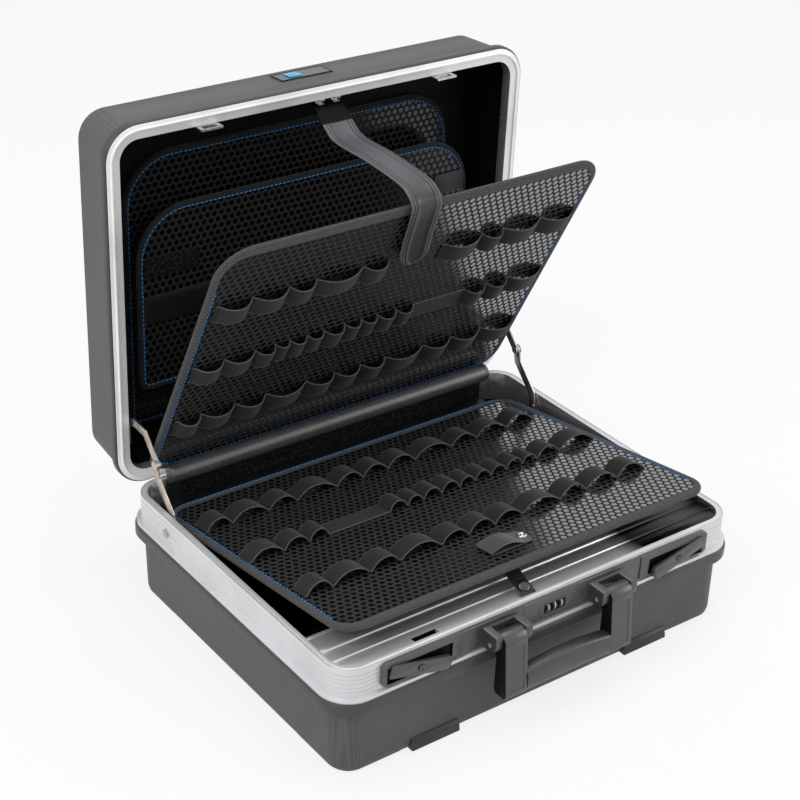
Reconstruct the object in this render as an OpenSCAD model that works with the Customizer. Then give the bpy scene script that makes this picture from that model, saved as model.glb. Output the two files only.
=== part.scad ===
// Hard tool case, shown open: framed shells, two elastic-loop tool boards,
// folding lid stays, lever locks, number dials and a drop handle.
// Millimetres, Z up, hinge at +Y, origin on the ground under the middle of the open case.

/* [Case] */
// Width of the aluminium frame
case_w = 483; // [460:1:540]
// Depth of the aluminium frame
case_d = 371; // [350:1:430]
// Height of the base, underside to rim
base_h = 118; // [112:1:150]
// Depth of the lid behind its ring
lid_h = 74.7; // [72:0.5:95]
// Corner radius of the frames
corner_r = 28; // [24:1:36]
// How far the lid stands open
lid_open = 90; // [88:0.5:92]

/* [Walls] */
// Wall of the aluminium frame
frame_t = 7; // [5.5:0.5:8]
// Height of the base frame
frame_h = 33.6; // [30:0.2:40]
// How far the shell's bead stands out past the frame
bead_out = 6.5; // [5:0.5:8]
// Wall of the moulded shells
shell_t = 3.4; // [2.5:0.1:4]
// Depth of the cross-shaped relief under each shell
relief = 3; // [1.5:0.5:3.5]

/* [Boards] */
// Thickness of a tool board with its bound edge
board_t = 4.8; // [4:0.2:5.2]
// Width of the bound edge on a board's face
binding_w = 11; // [8:0.5:14]
// How far the upper board leans forward when open
upper_lean = 26.4; // [22:0.2:30]
// How far the lower board is propped up when open
lower_tilt = 8.6; // [7:0.2:10]
// Rise of the widest elastic loop
loop_rise = 11.2; // [8:0.2:11.6]
// Width of the elastic band
loop_w = 22; // [16:1:28]
// Thickness of the elastic band
loop_t = 1.2; // [0.8:0.1:1.5]
// Radius of the padded spine roll
spine_r = 10.3; // [8:0.1:10.3]

/* [Handle] */
// Distance from the case middle to each handle arm
arm_x = 65; // [60:1:70]
// Width of a handle arm
arm_w = 26.4; // [22:0.2:28]
// Radius of the handle pivot pin
handle_pin_r = 2.5; // [2:0.1:3]
// How far the handle hangs below its pivot
handle_drop = 57.5; // [50:0.5:60]

/* [Locks and dials] */
// Distance from the side of the case to each lever pivot
lock_side = 83; // [79.5:0.5:85.5]
// Length of a lock lever
lever_l = 68; // [60:1:70]
// Height of a lock lever
lever_h = 14.5; // [12:0.5:15]
// Resting tilt of a lock lever
lever_tilt = 12.4; // [8:0.2:14]
// Radius of a number dial
dial_r = 4.8; // [4.2:0.1:5]
// Distance from one dial to the next
dial_pitch = 8; // [7:0.1:9]

/* [Stays and hinges] */
// Width of a stay arm
stay_w = 10; // [8:0.5:12]
// Thickness of a stay arm
stay_t = 1.8; // [1.2:0.1:2]
// Radius of a stay rivet
rivet_r = 2; // [1.5:0.1:2.4]
// Distance from the case middle to each hinge
hinge_x = 150; // [130:1:165]
// Radius of a hinge knuckle
knuckle_r = 4; // [3.5:0.1:4.4]

/* [Hidden] */
$fn = 64;
fit = 0.05;          // running clearance of a pin in its bore
seat = 0.3;          // clearance of a soft piece from its neighbour
skin = 0.1;          // paint-thin clearance between stacked pieces
big = 1000;
hinge_back = 4.5;    // hinge axis behind the base frame
hinge_drop = 5;      // hinge axis below the rim
ring_gap = 0.3;      // closed lid's ring above the rim
pin_out = 16.5;      // handle pin in front of the base frame
grip_out = 17.5;     // grip's front in front of the handle pin
grip_deep = 16.5;    // front to back of the grip
// the origin lies under the middle of the open case, handle to lid back
mid_y = (pin_out + grip_out - hinge_back - hinge_drop - ring_gap - lid_h)/2;
front = mid_y - case_d/2;   // outer front face of the base frame
back = mid_y + case_d/2;
wall_in = case_w/2 - frame_t;          // inner face of the side walls
hy = back + hinge_back;                // hinge axis of the lid
hz = base_h - hinge_drop;
ring_z = base_h + ring_gap;            // underside of the closed lid's ring
frame_z = base_h - frame_h;            // where the frame sits on the shell
lid_back = ring_z + lid_h;             // closed lid's outer face
ring_out = 2.4;                        // lid ring past the base frame
ring_in = frame_t + 0.4;
ring_deep = 14;
board_w = 2*wall_in - 19;
upper_l = case_d - 31;
lower_l = case_d - 45;
upper_y = hy - 7;                      // front-face foot of the upper board
upper_z = hz + 12;
lower_y = hy - 33.6;                   // top-face back edge of the lower board
lower_z = hz - 14.8;
lip = 0.4;                             // the binding stands this far off a board
core_t = board_t - 2*lip;
plate_z0 = base_h - 26.5;              // strip of lock plates on the front wall
plate_z1 = base_h - 1.5;
plate_t = 4;
hous_t = 4.8;
flange_out = 4.7;                      // lower flange of the base frame
lock_x = case_w/2 - lock_side;         // lever pivot from the case middle
lever_z = base_h - 17.5;
lever_back = front - hous_t - 0.4;
lever_web = 2.8;                       // lever thickness under the pivot's head
lever_pin_r = 2;
handle_y = front - pin_out;
handle_z = base_h - 17;
ear_t = 8.5;
ear_gap = 0.3;
ear_in = arm_x - arm_w/2 - ear_gap - ear_t;
ear_out = arm_x + arm_w/2 + ear_gap + ear_t;
dial_z = base_h - 15;
dial_y = front - 0.7;
dial_x = 0.8;
dial_t = 5.5;
axle_r = 1;
stay_by = hy - 75.5;                   // rivet on the base wall
stay_bz = hz - 12;
stay_ey = stay_by + 34;                // elbow rivet
stay_ez = stay_bz + 57.5;
stay_ly = hy + 34;                     // rivet on the lid
stay_lz = hz + 57.5;
arm_out = wall_in - 1.5;               // outer face of the lower stay arm
arm_mid = arm_out - stay_t - 0.2;      // outer face of the upper stay arm
pin_r = 1.6;                           // hinge pin
leaf_w = 50;
lug_w = 17.4;
ledge_in = 66;                         // width of the inner front profile
strap_w = 16.4;
soft_half = wall_in - 29.5;             // half length of the spine roll and its hinge

// Stitch lines between the elastic loops, measured from the board's middle
row_even = [-212, -183, -140, -106, -57, -24, 8, 43, 92, 126, 168, 204];
row_small = [-215, -177, -148, -125];
row_small_r = [-52, -30, -10, 13, 36, 56, 77, 97, 119, 138, 169, 216];
row_top_l = [-210, -173, -132, -102, -48, -17];
row_top_r = [49, 97, 123, 173, 219];
row_mid_l = [-212, -179, -144, -121, -104, -84, -64, -39, -19, 1, 24, 46];
row_mid_r = [112, 140, 169, 218];
row_low = [-210, -183, -143, -107, -58, -22, 11, 42, 92, 130, 170, 219];
// distance of each row's open edge from the hinged edge of its board
upper_rows = [267, 176, 90];
lower_rows = [74, 159, 249];
tab_s = 276;         // pull tab on the lower board
tab_l = 24;

// ---------- shared shapes ----------

// outline of the case, grown by off
module outline(off = 0) {
  w = case_w/2 + off;
  d = case_d/2 + off;
  r = corner_r + off;
  translate([0, mid_y]) union() {
    square([2*(w - r), 2*d], center = true);
    square([2*w, 2*(d - r)], center = true);
    for (sx = [-1, 1], sy = [-1, 1])
      translate([sx*(w - r), sy*(d - r)]) circle(r);
  }
}

module slab(off, z0, z1) {
  translate([0, 0, z0]) linear_extrude(z1 - z0) outline(off);
}

// slab for a hull whose front wall stands out by fwd
module front_slab(off, fwd, z0, z1) {
  slab(off, z0, z1);
  translate([0, -fwd, 0]) slab(off, z0, z1);
}

// band between two outlines
module band(off_out, off_in, z0, z1) {
  translate([0, 0, z0]) linear_extrude(z1 - z0) difference() {
    outline(off_out);
    outline(off_in);
  }
}

module box(x0, x1, y0, y1, z0, z1) {
  translate([x0, y0, z0]) cube([x1 - x0, y1 - y0, z1 - z0]);
}

// cylinder along X from x0 to x1
module rod_x(r, x0, x1, y, z) {
  translate([x0, y, z]) rotate([0, 90, 0]) cylinder(r = r, h = x1 - x0);
}

// cylinder along Y from y0 to y1
module rod_y(r, x, y0, y1, z) {
  translate([x, y1, z]) rotate([90, 0, 0]) cylinder(r = r, h = y1 - y0);
}

// a (y, z) outline drawn out along X
module along_x(x0, x1) {
  translate([x0, 0, 0]) rotate([90, 0, 90]) linear_extrude(x1 - x0) children();
}

// an (x, z) outline drawn out along Y
module along_y(y0, y1) {
  translate([0, y1, 0]) rotate([90, 0, 0]) linear_extrude(y1 - y0) children();
}

module both_sides() {
  children();
  mirror([1, 0, 0]) children();
}

// rounded rectangle standing on the X axis from y = 0 to y = l
module plate_2d(w, l, r) {
  union() {
    translate([-w/2, r]) square([w, l - 2*r]);
    translate([-w/2 + r, 0]) square([w - 2*r, l]);
    for (sx = [-1, 1], y = [r, l - r]) translate([sx*(w/2 - r), y]) circle(r);
  }
}

// the cross-shaped relief that leaves four pads at a shell's corners
module pad_relief(z0, z1) {
  w = case_w*0.352;
  d = case_d*0.305;
  box(-w, w, -big, big, z0, z1);
  box(-big, big, mid_y - d, mid_y + d, z0, z1);
}

// puts what is drawn on the closed lid where the open lid carries it
module lid_pose() {
  translate([0, hy, hz]) rotate([-lid_open, 0, 0]) translate([0, -hy, -hz]) children();
}

module on_upper() {
  translate([0, upper_y, upper_z]) rotate([90 + upper_lean, 0, 0]) children();
}

module on_lower() {
  translate([0, lower_y, lower_z]) rotate([-lower_tilt, 0, 0]) children();
}

// ---------- base ----------

front_full = 4;      // front wall's foot, out past the draft of the other walls

module base_shell() color([0.33, 0.33, 0.34]) {
  bead_z = frame_z - bead_out*2.15;
  difference() {
    union() {
      hull() {
        front_slab(-8.8, front_full, 0, 0.4);
        front_slab(-5.9, front_full, 3, 3.2);
        front_slab(-4.7, front_full, 8, 8.4);
      }
      hull() {
        front_slab(-4.7, front_full, 8, 8.4);
        front_slab(-2.8, 0.3, bead_z - 0.2, bead_z);
      }
      hull() {
        slab(bead_out - 1.6, bead_z, bead_z + 0.4);
        slab(bead_out, bead_z + 2, frame_z - 2);
        slab(bead_out - 1.2, frame_z - 0.3, frame_z);
      }
    }
    hull() {
      slab(-cave_off - shell_t, cave_z0, cave_z0 + 0.2);
      slab(-cave_off + 2.8 - shell_t, cave_z1 - 0.2, cave_z1 + 0.1);
    }
    slab(-frame_t, cave_z1, base_h);
    pad_relief(-1, relief + 0.5);
    foot_cut();
  }
}

foot_x = [lock_x - 54, lock_x + 1];
foot_h = 13;
foot_y0 = front - 4.2;

// seat of the two skids in the front wall and the underside
module foot_cut() {
  both_sides() {
    box(foot_x[0] - skin, foot_x[1] + skin, front - 6, front + 5.6, -1, foot_h + skin);
    box(foot_x[0] - skin, foot_x[1] + skin, front, front + 36, -1, relief + 0.5);
  }
}

module base_feet() color([0.12, 0.12, 0.13]) both_sides() {
  along_x(foot_x[0], foot_x[1]) union() {
    polygon([[foot_y0, 1.5], [foot_y0 + 1.5, 0], [front + 5.5, 0],
             [front + 5.5, foot_h], [foot_y0 + 4.6, foot_h], [foot_y0 + 1.8, foot_h - 3]]);
    translate([front + 5.4, 0]) square([30, relief + 0.4]);
  }
}

module base_frame() color([0.8, 0.8, 0.8]) {
  difference() {
    union() {
      band(0, -frame_t, frame_z, base_h);
      band(flange_out, -1, frame_z, frame_z + 4);
    }
    band(-0.9, -1.7, base_h - 1, base_h + 1);
    for (i = [0:4])
      band(1, -0.35, frame_z + 8.5 + i*4.6, frame_z + 9.1 + i*4.6);
    dial_pocket();
    both_sides() rod_x(rivet_r + fit, wall_in - 1, case_w/2 + 1, stay_by, stay_bz);
  }
}

// low partitions on the floor of the base
module base_dividers() color([0.1, 0.1, 0.1]) {
  z0 = cave_z0 + 0.2;
  z1 = z0 + 52;
  x1 = wall_in - 24.5;
  union() {
    box(x1, x1 + 3, front + 36, back - 36, z0, z1);
    for (y = [mid_y + 30, mid_y - 54])
      box(-wall_in + 9, x1 + 0.1, y, y + 4, z0, z1);
  }
}

cave_z0 = relief + shell_t + 1;        // floor of the base
cave_z1 = frame_z - 18.5;
cave_off = 9;                          // how far the cavity tapers in at the floor
function cave(z) = case_w/2 - shell_t - cave_off + (z - cave_z0)/(cave_z1 - cave_z0)*2.8;
screw_z = frame_z - 23;

module wall_screws() color([0.85, 0.85, 0.85]) both_sides() {
  for (y = [front + 81, front + 111])
    rod_x(3, cave(screw_z) - 1.8, cave(screw_z) - 0.2, y, screw_z);
}

// ribbed profile that covers the lock works inside the front rim
module front_inner_profile() color([0.75, 0.75, 0.75]) {
  y0 = front + frame_t + skin;
  z0 = base_h - 2;
  difference() {
    intersection() {
      along_x(-wall_in, wall_in) polygon([
        [y0, z0], [y0 + 15, z0 - 1.2], [y0 + 15.8, z0 - 2.8], [y0 + 19.6, z0 - 2.8],
        [y0 + 20.4, z0 - 1.6], [y0 + 30.6, z0 - 2.2], [y0 + 31.6, z0 - 4],
        [y0 + 37.4, z0 - 4], [y0 + 38.4, z0 - 2.6], [y0 + 41.4, z0 - 2.2],
        [y0 + 44.6, z0 - 2.9], [y0 + 60, z0 - 4.6], [y0 + 62, z0 - 5.8],
        [y0 + 63.6, z0 - 4.9], [y0 + ledge_in, z0 - 5], [y0 + ledge_in, z0 - 16],
        [y0 + ledge_in - 2, z0 - 16], [y0 + ledge_in - 2, z0 - 8],
        [y0 + 30, z0 - 6.2], [y0, z0 - 4]]);
      slab(-frame_t - skin, z0 - 20, z0 + 1);
    }
    // slots that take the lid's strikers
    both_sides() box(striker_x - 14, striker_x + 14, y0 - 1, y0 + 8.4, z0 - 20, z0 + 1);
  }
}

striker_x = lock_x - 18.5;
hous_x = [lock_x - 48.5, lock_x + 40.5];

// lock housing on the right, drawn with its outer end chamfered
module lock_housing() {
  difference() {
    along_y(front - hous_t, front) polygon([
      [hous_x[0], plate_z0], [hous_x[1] - 3, plate_z0], [hous_x[1], plate_z0 + 3],
      [hous_x[1], plate_z1 - 4], [hous_x[1] - 4, plate_z1], [hous_x[0], plate_z1]]);
    box(hous_x[0] + 11, hous_x[1] - 5, front - 10, front - 1.5,
        plate_z0 + 1.5, plate_z1 - 6);
    rod_y(lever_pin_r + fit, lock_x, front - 10, front + 1, lever_z);
  }
}

module right_lock_housing() color([0.22, 0.22, 0.23]) lock_housing();

module left_lock_housing() color([0.22, 0.22, 0.23]) mirror([1, 0, 0]) lock_housing();

head_y = lever_back - lever_web - skin;

// pin with a slotted head in front of each lever
module lock_pivots() color([0.6, 0.6, 0.62]) both_sides() difference() {
  union() {
    rod_y(lever_pin_r, lock_x, head_y - 0.5, front - skin, lever_z);
    rod_y(lever_pin_r + 1.5, lock_x, head_y - 1.4, head_y, lever_z);
  }
  box(lock_x - 0.5, lock_x + 0.5, head_y - 2, head_y - 0.8, lever_z - 2.6, lever_z + 2.6);
}

// lever with its thick end towards +X, pivot at the origin, back face at y = 0
module lever() difference() {
  intersection() {
    along_y(-10, 0) polygon([
      [-lever_l/2, -lever_h/2 + 1], [-lever_l/2 + 1, -lever_h/2],
      [lever_l/2 - 4, -lever_h/2 + 0.4], [lever_l/2, -lever_h/2 + 4],
      [lever_l/2, lever_h/2 - 3], [lever_l/2 - 3, lever_h/2],
      [-lever_l/2 + 1, lever_h/2 - 1], [-lever_l/2, lever_h/2 - 2]]);
    translate([0, 0, -20]) linear_extrude(40) polygon([
      [-lever_l/2, 0], [lever_l/2, 0], [lever_l/2, -4.6], [lever_l/2 - 2, -5.2],
      [-2, -3.4], [-lever_l/2, -1.8]]);
  }
  rod_y(lever_pin_r + fit, 0, -20, 1, 0);
  rod_y(lever_pin_r + 1.7, 0, -20, -lever_web, 0);
}

module left_lock_lever() color([0.35, 0.35, 0.36])
  translate([-lock_x, lever_back, lever_z]) rotate([0, lever_tilt, 0]) lever();

module right_lock_lever() color([0.35, 0.35, 0.36])
  mirror([1, 0, 0]) left_lock_lever();

// handle bracket on the right: plate with two ears round the arm
module handle_bracket() {
  ear_r = 7.9;
  ear_top = 11;
  bar_t = 2;
  difference() {
    union() {
      box(38 + skin, hous_x[0] - skin, front - plate_t, front, plate_z0, plate_z1);
      for (x = [ear_in, ear_out - ear_t]) along_x(x, x + ear_t) union() {
        translate([handle_y, handle_z]) circle(ear_r);
        translate([handle_y - ear_r, handle_z]) square([ear_r, ear_top]);
        translate([handle_y, handle_z - ear_r])
          square([front - handle_y - plate_t + 1, ear_r + ear_top]);
      }
      box(ear_in + 1, ear_out - 1, front - plate_t - bar_t, front - plate_t + 0.5,
          handle_z + 2, handle_z + ear_top);
    }
    rod_x(handle_pin_r + fit, ear_in - 1, ear_out + 1, handle_y, handle_z);
  }
}

module right_handle_bracket() color([0.3, 0.3, 0.31]) handle_bracket();

module left_handle_bracket() color([0.3, 0.3, 0.31]) mirror([1, 0, 0]) handle_bracket();

module handle_pins() color([0.75, 0.75, 0.75]) both_sides()
  rod_x(handle_pin_r, ear_in - 0.6, ear_out + 0.6, handle_y, handle_z);

pocket_x = [dial_x - dial_pitch - dial_t/2 - 2.5, dial_x + dial_pitch + dial_t/2 + 2.5];

module dial_pocket() {
  box(pocket_x[0], pocket_x[1], front - 10, dial_y + dial_r + 0.4,
      dial_z - dial_r - 0.6, dial_z + dial_r + 0.6);
  rod_x(axle_r + fit, pocket_x[0] - 2.5, pocket_x[1] + 2.5, dial_y, dial_z);
}

module combination_plate() color([0.25, 0.25, 0.26]) difference() {
  union() {
    box(-38 + skin, 38 - skin, front - plate_t, front, plate_z0, plate_z1);
    translate([dial_x, 0, dial_z]) along_y(front - plate_t - 0.6, front - plate_t + 0.5)
      union() {
        square([26, 14], center = true);
        for (s = [-1, 1]) translate([13*s, 0]) circle(7);
      }
  }
  dial_pocket();
}

module dial_axle() color([0.7, 0.7, 0.7])
  rod_x(axle_r, pocket_x[0] - 2, pocket_x[1] + 2, dial_y, dial_z);

// toothed number dial
module dial(x) color([0.2, 0.2, 0.2]) difference() {
  rod_x(dial_r, x - dial_t/2, x + dial_t/2, dial_y, dial_z);
  rod_x(axle_r + fit, x - dial_t, x + dial_t, dial_y, dial_z);
  for (i = [0:9]) translate([0, dial_y, dial_z]) rotate([i*36 + 18, 0, 0])
    rod_x(0.35, x - dial_t, x + dial_t, dial_r + 0.1, 0);
}

module dial_left() dial(dial_x - dial_pitch);
module dial_middle() dial(dial_x);
module dial_right() dial(dial_x + dial_pitch);

// hook-and-loop strip on the back wall, a bead at the upper board's pivot and a
// flap that carries the lower board
piv_uy = hy - 14.9;
piv_uz = hz + 2.5;
piv_ly = hy - 32;
piv_lz = hz - 19.6;

module fabric_hinge() color([0.08, 0.08, 0.08]) {
  y1 = back - frame_t - 0.6;
  union() {
    box(-soft_half, soft_half, y1 - 3.5, y1, piv_lz - 5.4, piv_uz - 1);
    box(-soft_half, soft_half, piv_ly - 8, y1, piv_lz - 3.6, piv_lz - 0.5);
    rod_x(3.2, -soft_half, soft_half, piv_uy - 0.2, piv_uz);
  }
}

module stay_base_rivets() color([0.75, 0.72, 0.7]) both_sides() {
  rod_x(rivet_r, arm_out - stay_t - 0.9, case_w/2 + 0.5, stay_by, stay_bz);
  rod_x(rivet_r + 2, arm_out - stay_t - 1.2, arm_out - stay_t - 0.2, stay_by, stay_bz);
  rod_x(rivet_r + 2.4, case_w/2, case_w/2 + 1.4, stay_by, stay_bz);
}

module hinge_pair() for (s = [-1, 1]) translate([s*hinge_x, 0, 0]) children();

module hinge_base_leaves() color([0.6, 0.6, 0.6]) hinge_pair() difference() {
  union() {
    box(-leaf_w/2, leaf_w/2, back, back + 1.5, frame_z + 5, hz);
    for (x = [-leaf_w/2, lug_w/2 + 0.3])
      rod_x(knuckle_r, x, x + (leaf_w - lug_w)/2 - 0.3, hy, hz);
    for (x = [-leaf_w/2, lug_w/2 + 0.3])
      box(x, x + (leaf_w - lug_w)/2 - 0.3, back, hy, hz - knuckle_r, hz - 1.5);
  }
  rod_x(pin_r + fit, -leaf_w, leaf_w, hy, hz);
  box(-lug_w/2 - 0.3, lug_w/2 + 0.3, back - 1, hy + 9, hz - knuckle_r - 0.6, hz + 9);
}

module hinge_pins() color([0.8, 0.8, 0.8]) hinge_pair()
  rod_x(pin_r, -leaf_w/2 - 0.4, leaf_w/2 + 0.4, hy, hz);

// strap from the front rim up to the underside of the propped lower board
strap_y0 = front + frame_t + 0.9;
strap_z0 = base_h - 1.2;
strap_rise = 24.9;
strap_l = 46;

module on_strap() translate([-21.6, strap_y0, strap_z0]) rotate([strap_rise, 0, 0])
  children();

module retaining_strap() color([0.1, 0.1, 0.1])
  on_strap() box(-strap_w/2, strap_w/2, 0, strap_l, 0, 1);

module retaining_snap() color([0.15, 0.15, 0.15])
  on_strap() translate([0, 10, 1 + skin]) cylinder(r = 6.2, h = 1.4);

// ---------- handle ----------

module handle_arm() {
  y = handle_y;
  z = handle_z;
  difference() {
    along_x(arm_x - arm_w/2, arm_x + arm_w/2) union() {
      translate([y - 2, z]) circle(10);
      polygon([
        [y - 11.8, z], [y - grip_out, z - handle_drop + 3], [y - 15, z - handle_drop],
        [y - 2, z - handle_drop], [y + 0.5, z - handle_drop + 4], [y + 0.5, z - 17],
        [y + 6.5, z - 4]]);
    }
    rod_x(handle_pin_r + fit, 0, 2*arm_x, y, z);
  }
}

module handle_right_arm() color([0.27, 0.27, 0.28]) handle_arm();

module handle_left_arm() color([0.27, 0.27, 0.28]) mirror([1, 0, 0]) handle_arm();

// grip with an arched top edge
module handle_grip() color([0.2, 0.2, 0.21]) {
  half = arm_x - arm_w/2;
  y0 = handle_y - grip_out;
  y1 = y0 + grip_deep;
  z0 = handle_z - handle_drop;
  side_h = 22;
  rise = 4.5;
  top = side_h + rise;
  round = 6;
  arc_r = (half*half + rise*rise)/(2*rise);
  intersection() {
    along_y(y0, y1) union() {
      translate([-half, z0]) square([2*half, side_h]);
      intersection() {
        translate([0, z0 + top - arc_r]) circle(arc_r, $fn = 128);
        translate([-half, z0 + side_h - 1]) square([2*half, rise + 2]);
      }
    }
    along_x(-half, half) union() {
      translate([y0, z0 + 3]) square([grip_deep, top - round - 3]);
      translate([y0 + 3, z0]) square([grip_deep - 6, top - round]);
      for (y = [y0 + 3, y1 - 3]) translate([y, z0 + 3]) circle(3);
      for (y = [y0 + round, y1 - round]) translate([y, z0 + top - round]) circle(round);
      translate([y0 + round, z0 + 3]) square([grip_deep - 2*round, top - 3]);
    }
  }
}

// ---------- lid, drawn closed and posed open ----------

// how far the lid's wall stands out at a depth behind the ring
function lid_off(deep) = 4.5 - (deep - ring_deep)*4.9/58;
// and how much further its front wall does
function lid_fwd(deep) = (deep - ring_deep)*2.6/58;
flange_z = 3;
bead_deep = 13;
lid_floor = lid_h - relief - shell_t;

module lid_shell() color([0.33, 0.33, 0.34]) lid_pose() difference() {
  union() {
    hull() {
      slab(ring_out + 5, ring_z + flange_z, ring_z + flange_z + 0.3);
      slab(ring_out + 6.1, ring_z + flange_z + 2, ring_z + bead_deep - 2);
      slab(ring_out + 4.8, ring_z + bead_deep - 0.3, ring_z + bead_deep);
    }
    hull() {
      slab(lid_off(bead_deep), ring_z + bead_deep - 1, ring_z + bead_deep);
      front_slab(lid_off(lid_h - 6), lid_fwd(lid_h - 6), lid_back - 6, lid_back - 5.6);
    }
    hull() {
      front_slab(lid_off(lid_h - 6), lid_fwd(lid_h - 6), lid_back - 6, lid_back - 5.6);
      front_slab(-2.6, lid_fwd(lid_h), lid_back - 2, lid_back - 1.8);
      front_slab(-6, lid_fwd(lid_h), lid_back - 0.4, lid_back);
    }
  }
  slab(-frame_t + 1, ring_z, ring_z + ring_deep + skin);
  hull() {
    slab(lid_off(ring_deep) - shell_t - 2, ring_z + ring_deep, ring_z + ring_deep + 0.2);
    slab(lid_off(lid_h) - shell_t, ring_z + lid_floor - 0.2, ring_z + lid_floor);
  }
  pad_relief(lid_back - relief, lid_back + 1);
}

module lid_frame() color([0.8, 0.8, 0.8]) lid_pose() difference() {
  union() {
    band(ring_out, -ring_in, ring_z, ring_z + flange_z);
    band(ring_out + 3.9, -ring_in, ring_z + 2, ring_z + flange_z);
    band(-frame_t + 1, -ring_in, ring_z + 2, ring_z + ring_deep);
  }
  band(ring_out - 1.8, -ring_in - 1, ring_z - 1, ring_z + 1.8);
}

badge_deep = [38.7, 61.2];

module on_lid_front() lid_pose()
  translate([0, front - lid_off(ring_deep), ring_z + ring_deep])
    rotate([-atan((4.9 - 2.6)/58), 0, 0]) translate([0, 0, -ring_deep]) children();

module badge_plate() color([0.2, 0.2, 0.2])
  on_lid_front() box(-30.5, 30.5, -1.3, -skin, badge_deep[0], badge_deep[1]);

module badge_tile() color([0.16, 0.66, 0.88])
  on_lid_front() box(-18.5, -3, -1.9, -1.3, badge_deep[0] + 4.2, badge_deep[1] - 5.3);

// closed hoops that drop through the slots of the front profile
module lid_strikers() color([0.8, 0.8, 0.8]) lid_pose() both_sides() {
  y0 = front + ring_in + skin;
  along_y(y0, y0 + 2) difference() {
    translate([striker_x - 12, ring_z - 9]) square([24, 19]);
    translate([striker_x - 8, ring_z - 6.5]) square([16, 6]);
  }
}

// two small hooks that hold the board strap on the lid's front ring
module strap_hooks() color([0.8, 0.8, 0.8]) lid_pose() {
  y0 = front + ring_in + skin;
  for (x = [-12, 7]) along_x(x, x + 7) polygon([
    [y0, ring_z + 1], [y0 + 1.4, ring_z + 1], [y0 + 1.4, ring_z + 7],
    [y0 + 4, ring_z + 7], [y0 + 4, ring_z + 2.5], [y0 + 5.4, ring_z + 2.5],
    [y0 + 5.4, ring_z + 8.4], [y0, ring_z + 12]]);
}

module lid_stay_brackets() color([0.75, 0.72, 0.7]) both_sides() {
  x0 = case_w/2 - ring_in - skin - 1.4;
  difference() {
    lid_pose() box(x0, x0 + 1.4, hy - 69, hy - 46, ring_z + 2, ring_z + 38);
    rod_x(rivet_r + fit, x0 - 1, x0 + 3, stay_ly, stay_lz);
  }
}

module lid_stay_rivets() color([0.75, 0.72, 0.7]) both_sides() {
  x0 = case_w/2 - ring_in - skin;
  rod_x(rivet_r, arm_mid - stay_t - 1, x0 + 0.5, stay_ly, stay_lz);
  rod_x(rivet_r + 2, arm_mid - stay_t - 1.2, arm_mid - stay_t - 0.2, stay_ly, stay_lz);
  rod_x(rivet_r + 1.2, x0, x0 + 1, stay_ly, stay_lz);
}

module hinge_lid_leaves() color([0.6, 0.6, 0.6]) lid_pose() hinge_pair() {
  w = lug_w/2;
  difference() {
    union() {
      rod_x(knuckle_r, -w, w, hy, hz);
      box(-w, w, hy - 1.6, hy + 1.4, hz, ring_z + 2 - skin);
    }
    rod_x(pin_r + fit, -w - 1, w + 1, hy, hz);
  }
}

lid_board_r = corner_r + 16;    // corners of both lid boards
rear_t = 7.2;                   // rear board
rear_y0 = hy - case_d + 46;
rear_y1 = hy - 25;
rear_side = 33.5;               // rear board's sides from the lid walls
pocket_z = hz + 33.6;           // pocket board
pocket_t = 4;
pocket_y0 = hy - case_d + 89;
pocket_y1 = hy - 85;
pocket_side = 29.5;
pocket_wall = 2;                // gusset between the two
pocket_in = 45;                 // gusset's sides from the lid walls

// padded board against the lid's back wall
module lid_rear_board() color([0.14, 0.14, 0.14]) lid_pose() {
  z1 = ring_z + lid_floor - seat;
  translate([0, rear_y0, z1 - rear_t]) linear_extrude(rear_t)
    plate_2d(2*(wall_in - rear_side), rear_y1 - rear_y0, lid_board_r);
}

module lid_pocket_board() color([0.16, 0.16, 0.16]) lid_pose()
  translate([0, pocket_y0, pocket_z]) linear_extrude(pocket_t)
    plate_2d(2*(wall_in - pocket_side), pocket_y1 - pocket_y0, lid_board_r);

// gusset that joins the pocket board to the rear board
module lid_pocket() color([0.1, 0.1, 0.1]) lid_pose() {
  x = wall_in - pocket_in;
  z0 = pocket_z + pocket_t + skin;
  z1 = ring_z + lid_floor - seat - rear_t - skin;
  translate([0, 0, z0]) linear_extrude(z1 - z0) difference() {
    translate([-x, pocket_y0 + 60]) square([2*x, pocket_y1 - pocket_y0 - 64]);
    translate([-x + pocket_wall, pocket_y0 + 50])
      square([2*(x - pocket_wall), pocket_y1 - pocket_y0 - 54 - pocket_wall]);
  }
}

// ---------- tool boards ----------

// stiff core with its front face at z = -lip, from y = 0 to y = l
module board_core(l, r) translate([0, 0, -board_t + lip]) linear_extrude(core_t)
  translate([0, 2]) plate_2d(board_w - 4, l - 4, r - 2);

// channel that wraps the edge of the core
module board_binding(l, r) difference() {
  translate([0, 0, -board_t]) linear_extrude(board_t) difference() {
    plate_2d(board_w, l, r);
    translate([0, binding_w]) plate_2d(board_w - 2*binding_w, l - 2*binding_w, r - binding_w);
  }
  board_core(l, r);
}

// one elastic arch from a to b
module arch(a, b, high) {
  s = b - a;
  rise = min(high, 0.45*s);
  r = (s*s/4 + rise*rise)/(2*rise);
  intersection() {
    translate([(a + b)/2, rise - r]) difference() {
      circle(r);
      circle(r - loop_t);
    }
    translate([a - 1, 0]) square([s + 2, rise + 1]);
  }
}

// elastic band sewn down at each stitch line, its open edge at y = top
module loop_band(lines, top) {
  pad = 5;
  translate([0, top, skin]) rotate([90, 0, 0]) linear_extrude(loop_w) union() {
    for (i = [0:len(lines) - 2]) arch(lines[i], lines[i + 1], loop_rise);
    for (x = lines) translate([x - pad/2, 0]) square([pad, loop_t]);
  }
}

// stretch of the elastic band that lies flat between two groups of loops
module flat_band(a, b, top)
  translate([a, top - loop_w, skin]) cube([b - a, loop_w, loop_t]);

module upper_board() color([0.2, 0.2, 0.2]) on_upper() board_core(upper_l, 35);

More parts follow.
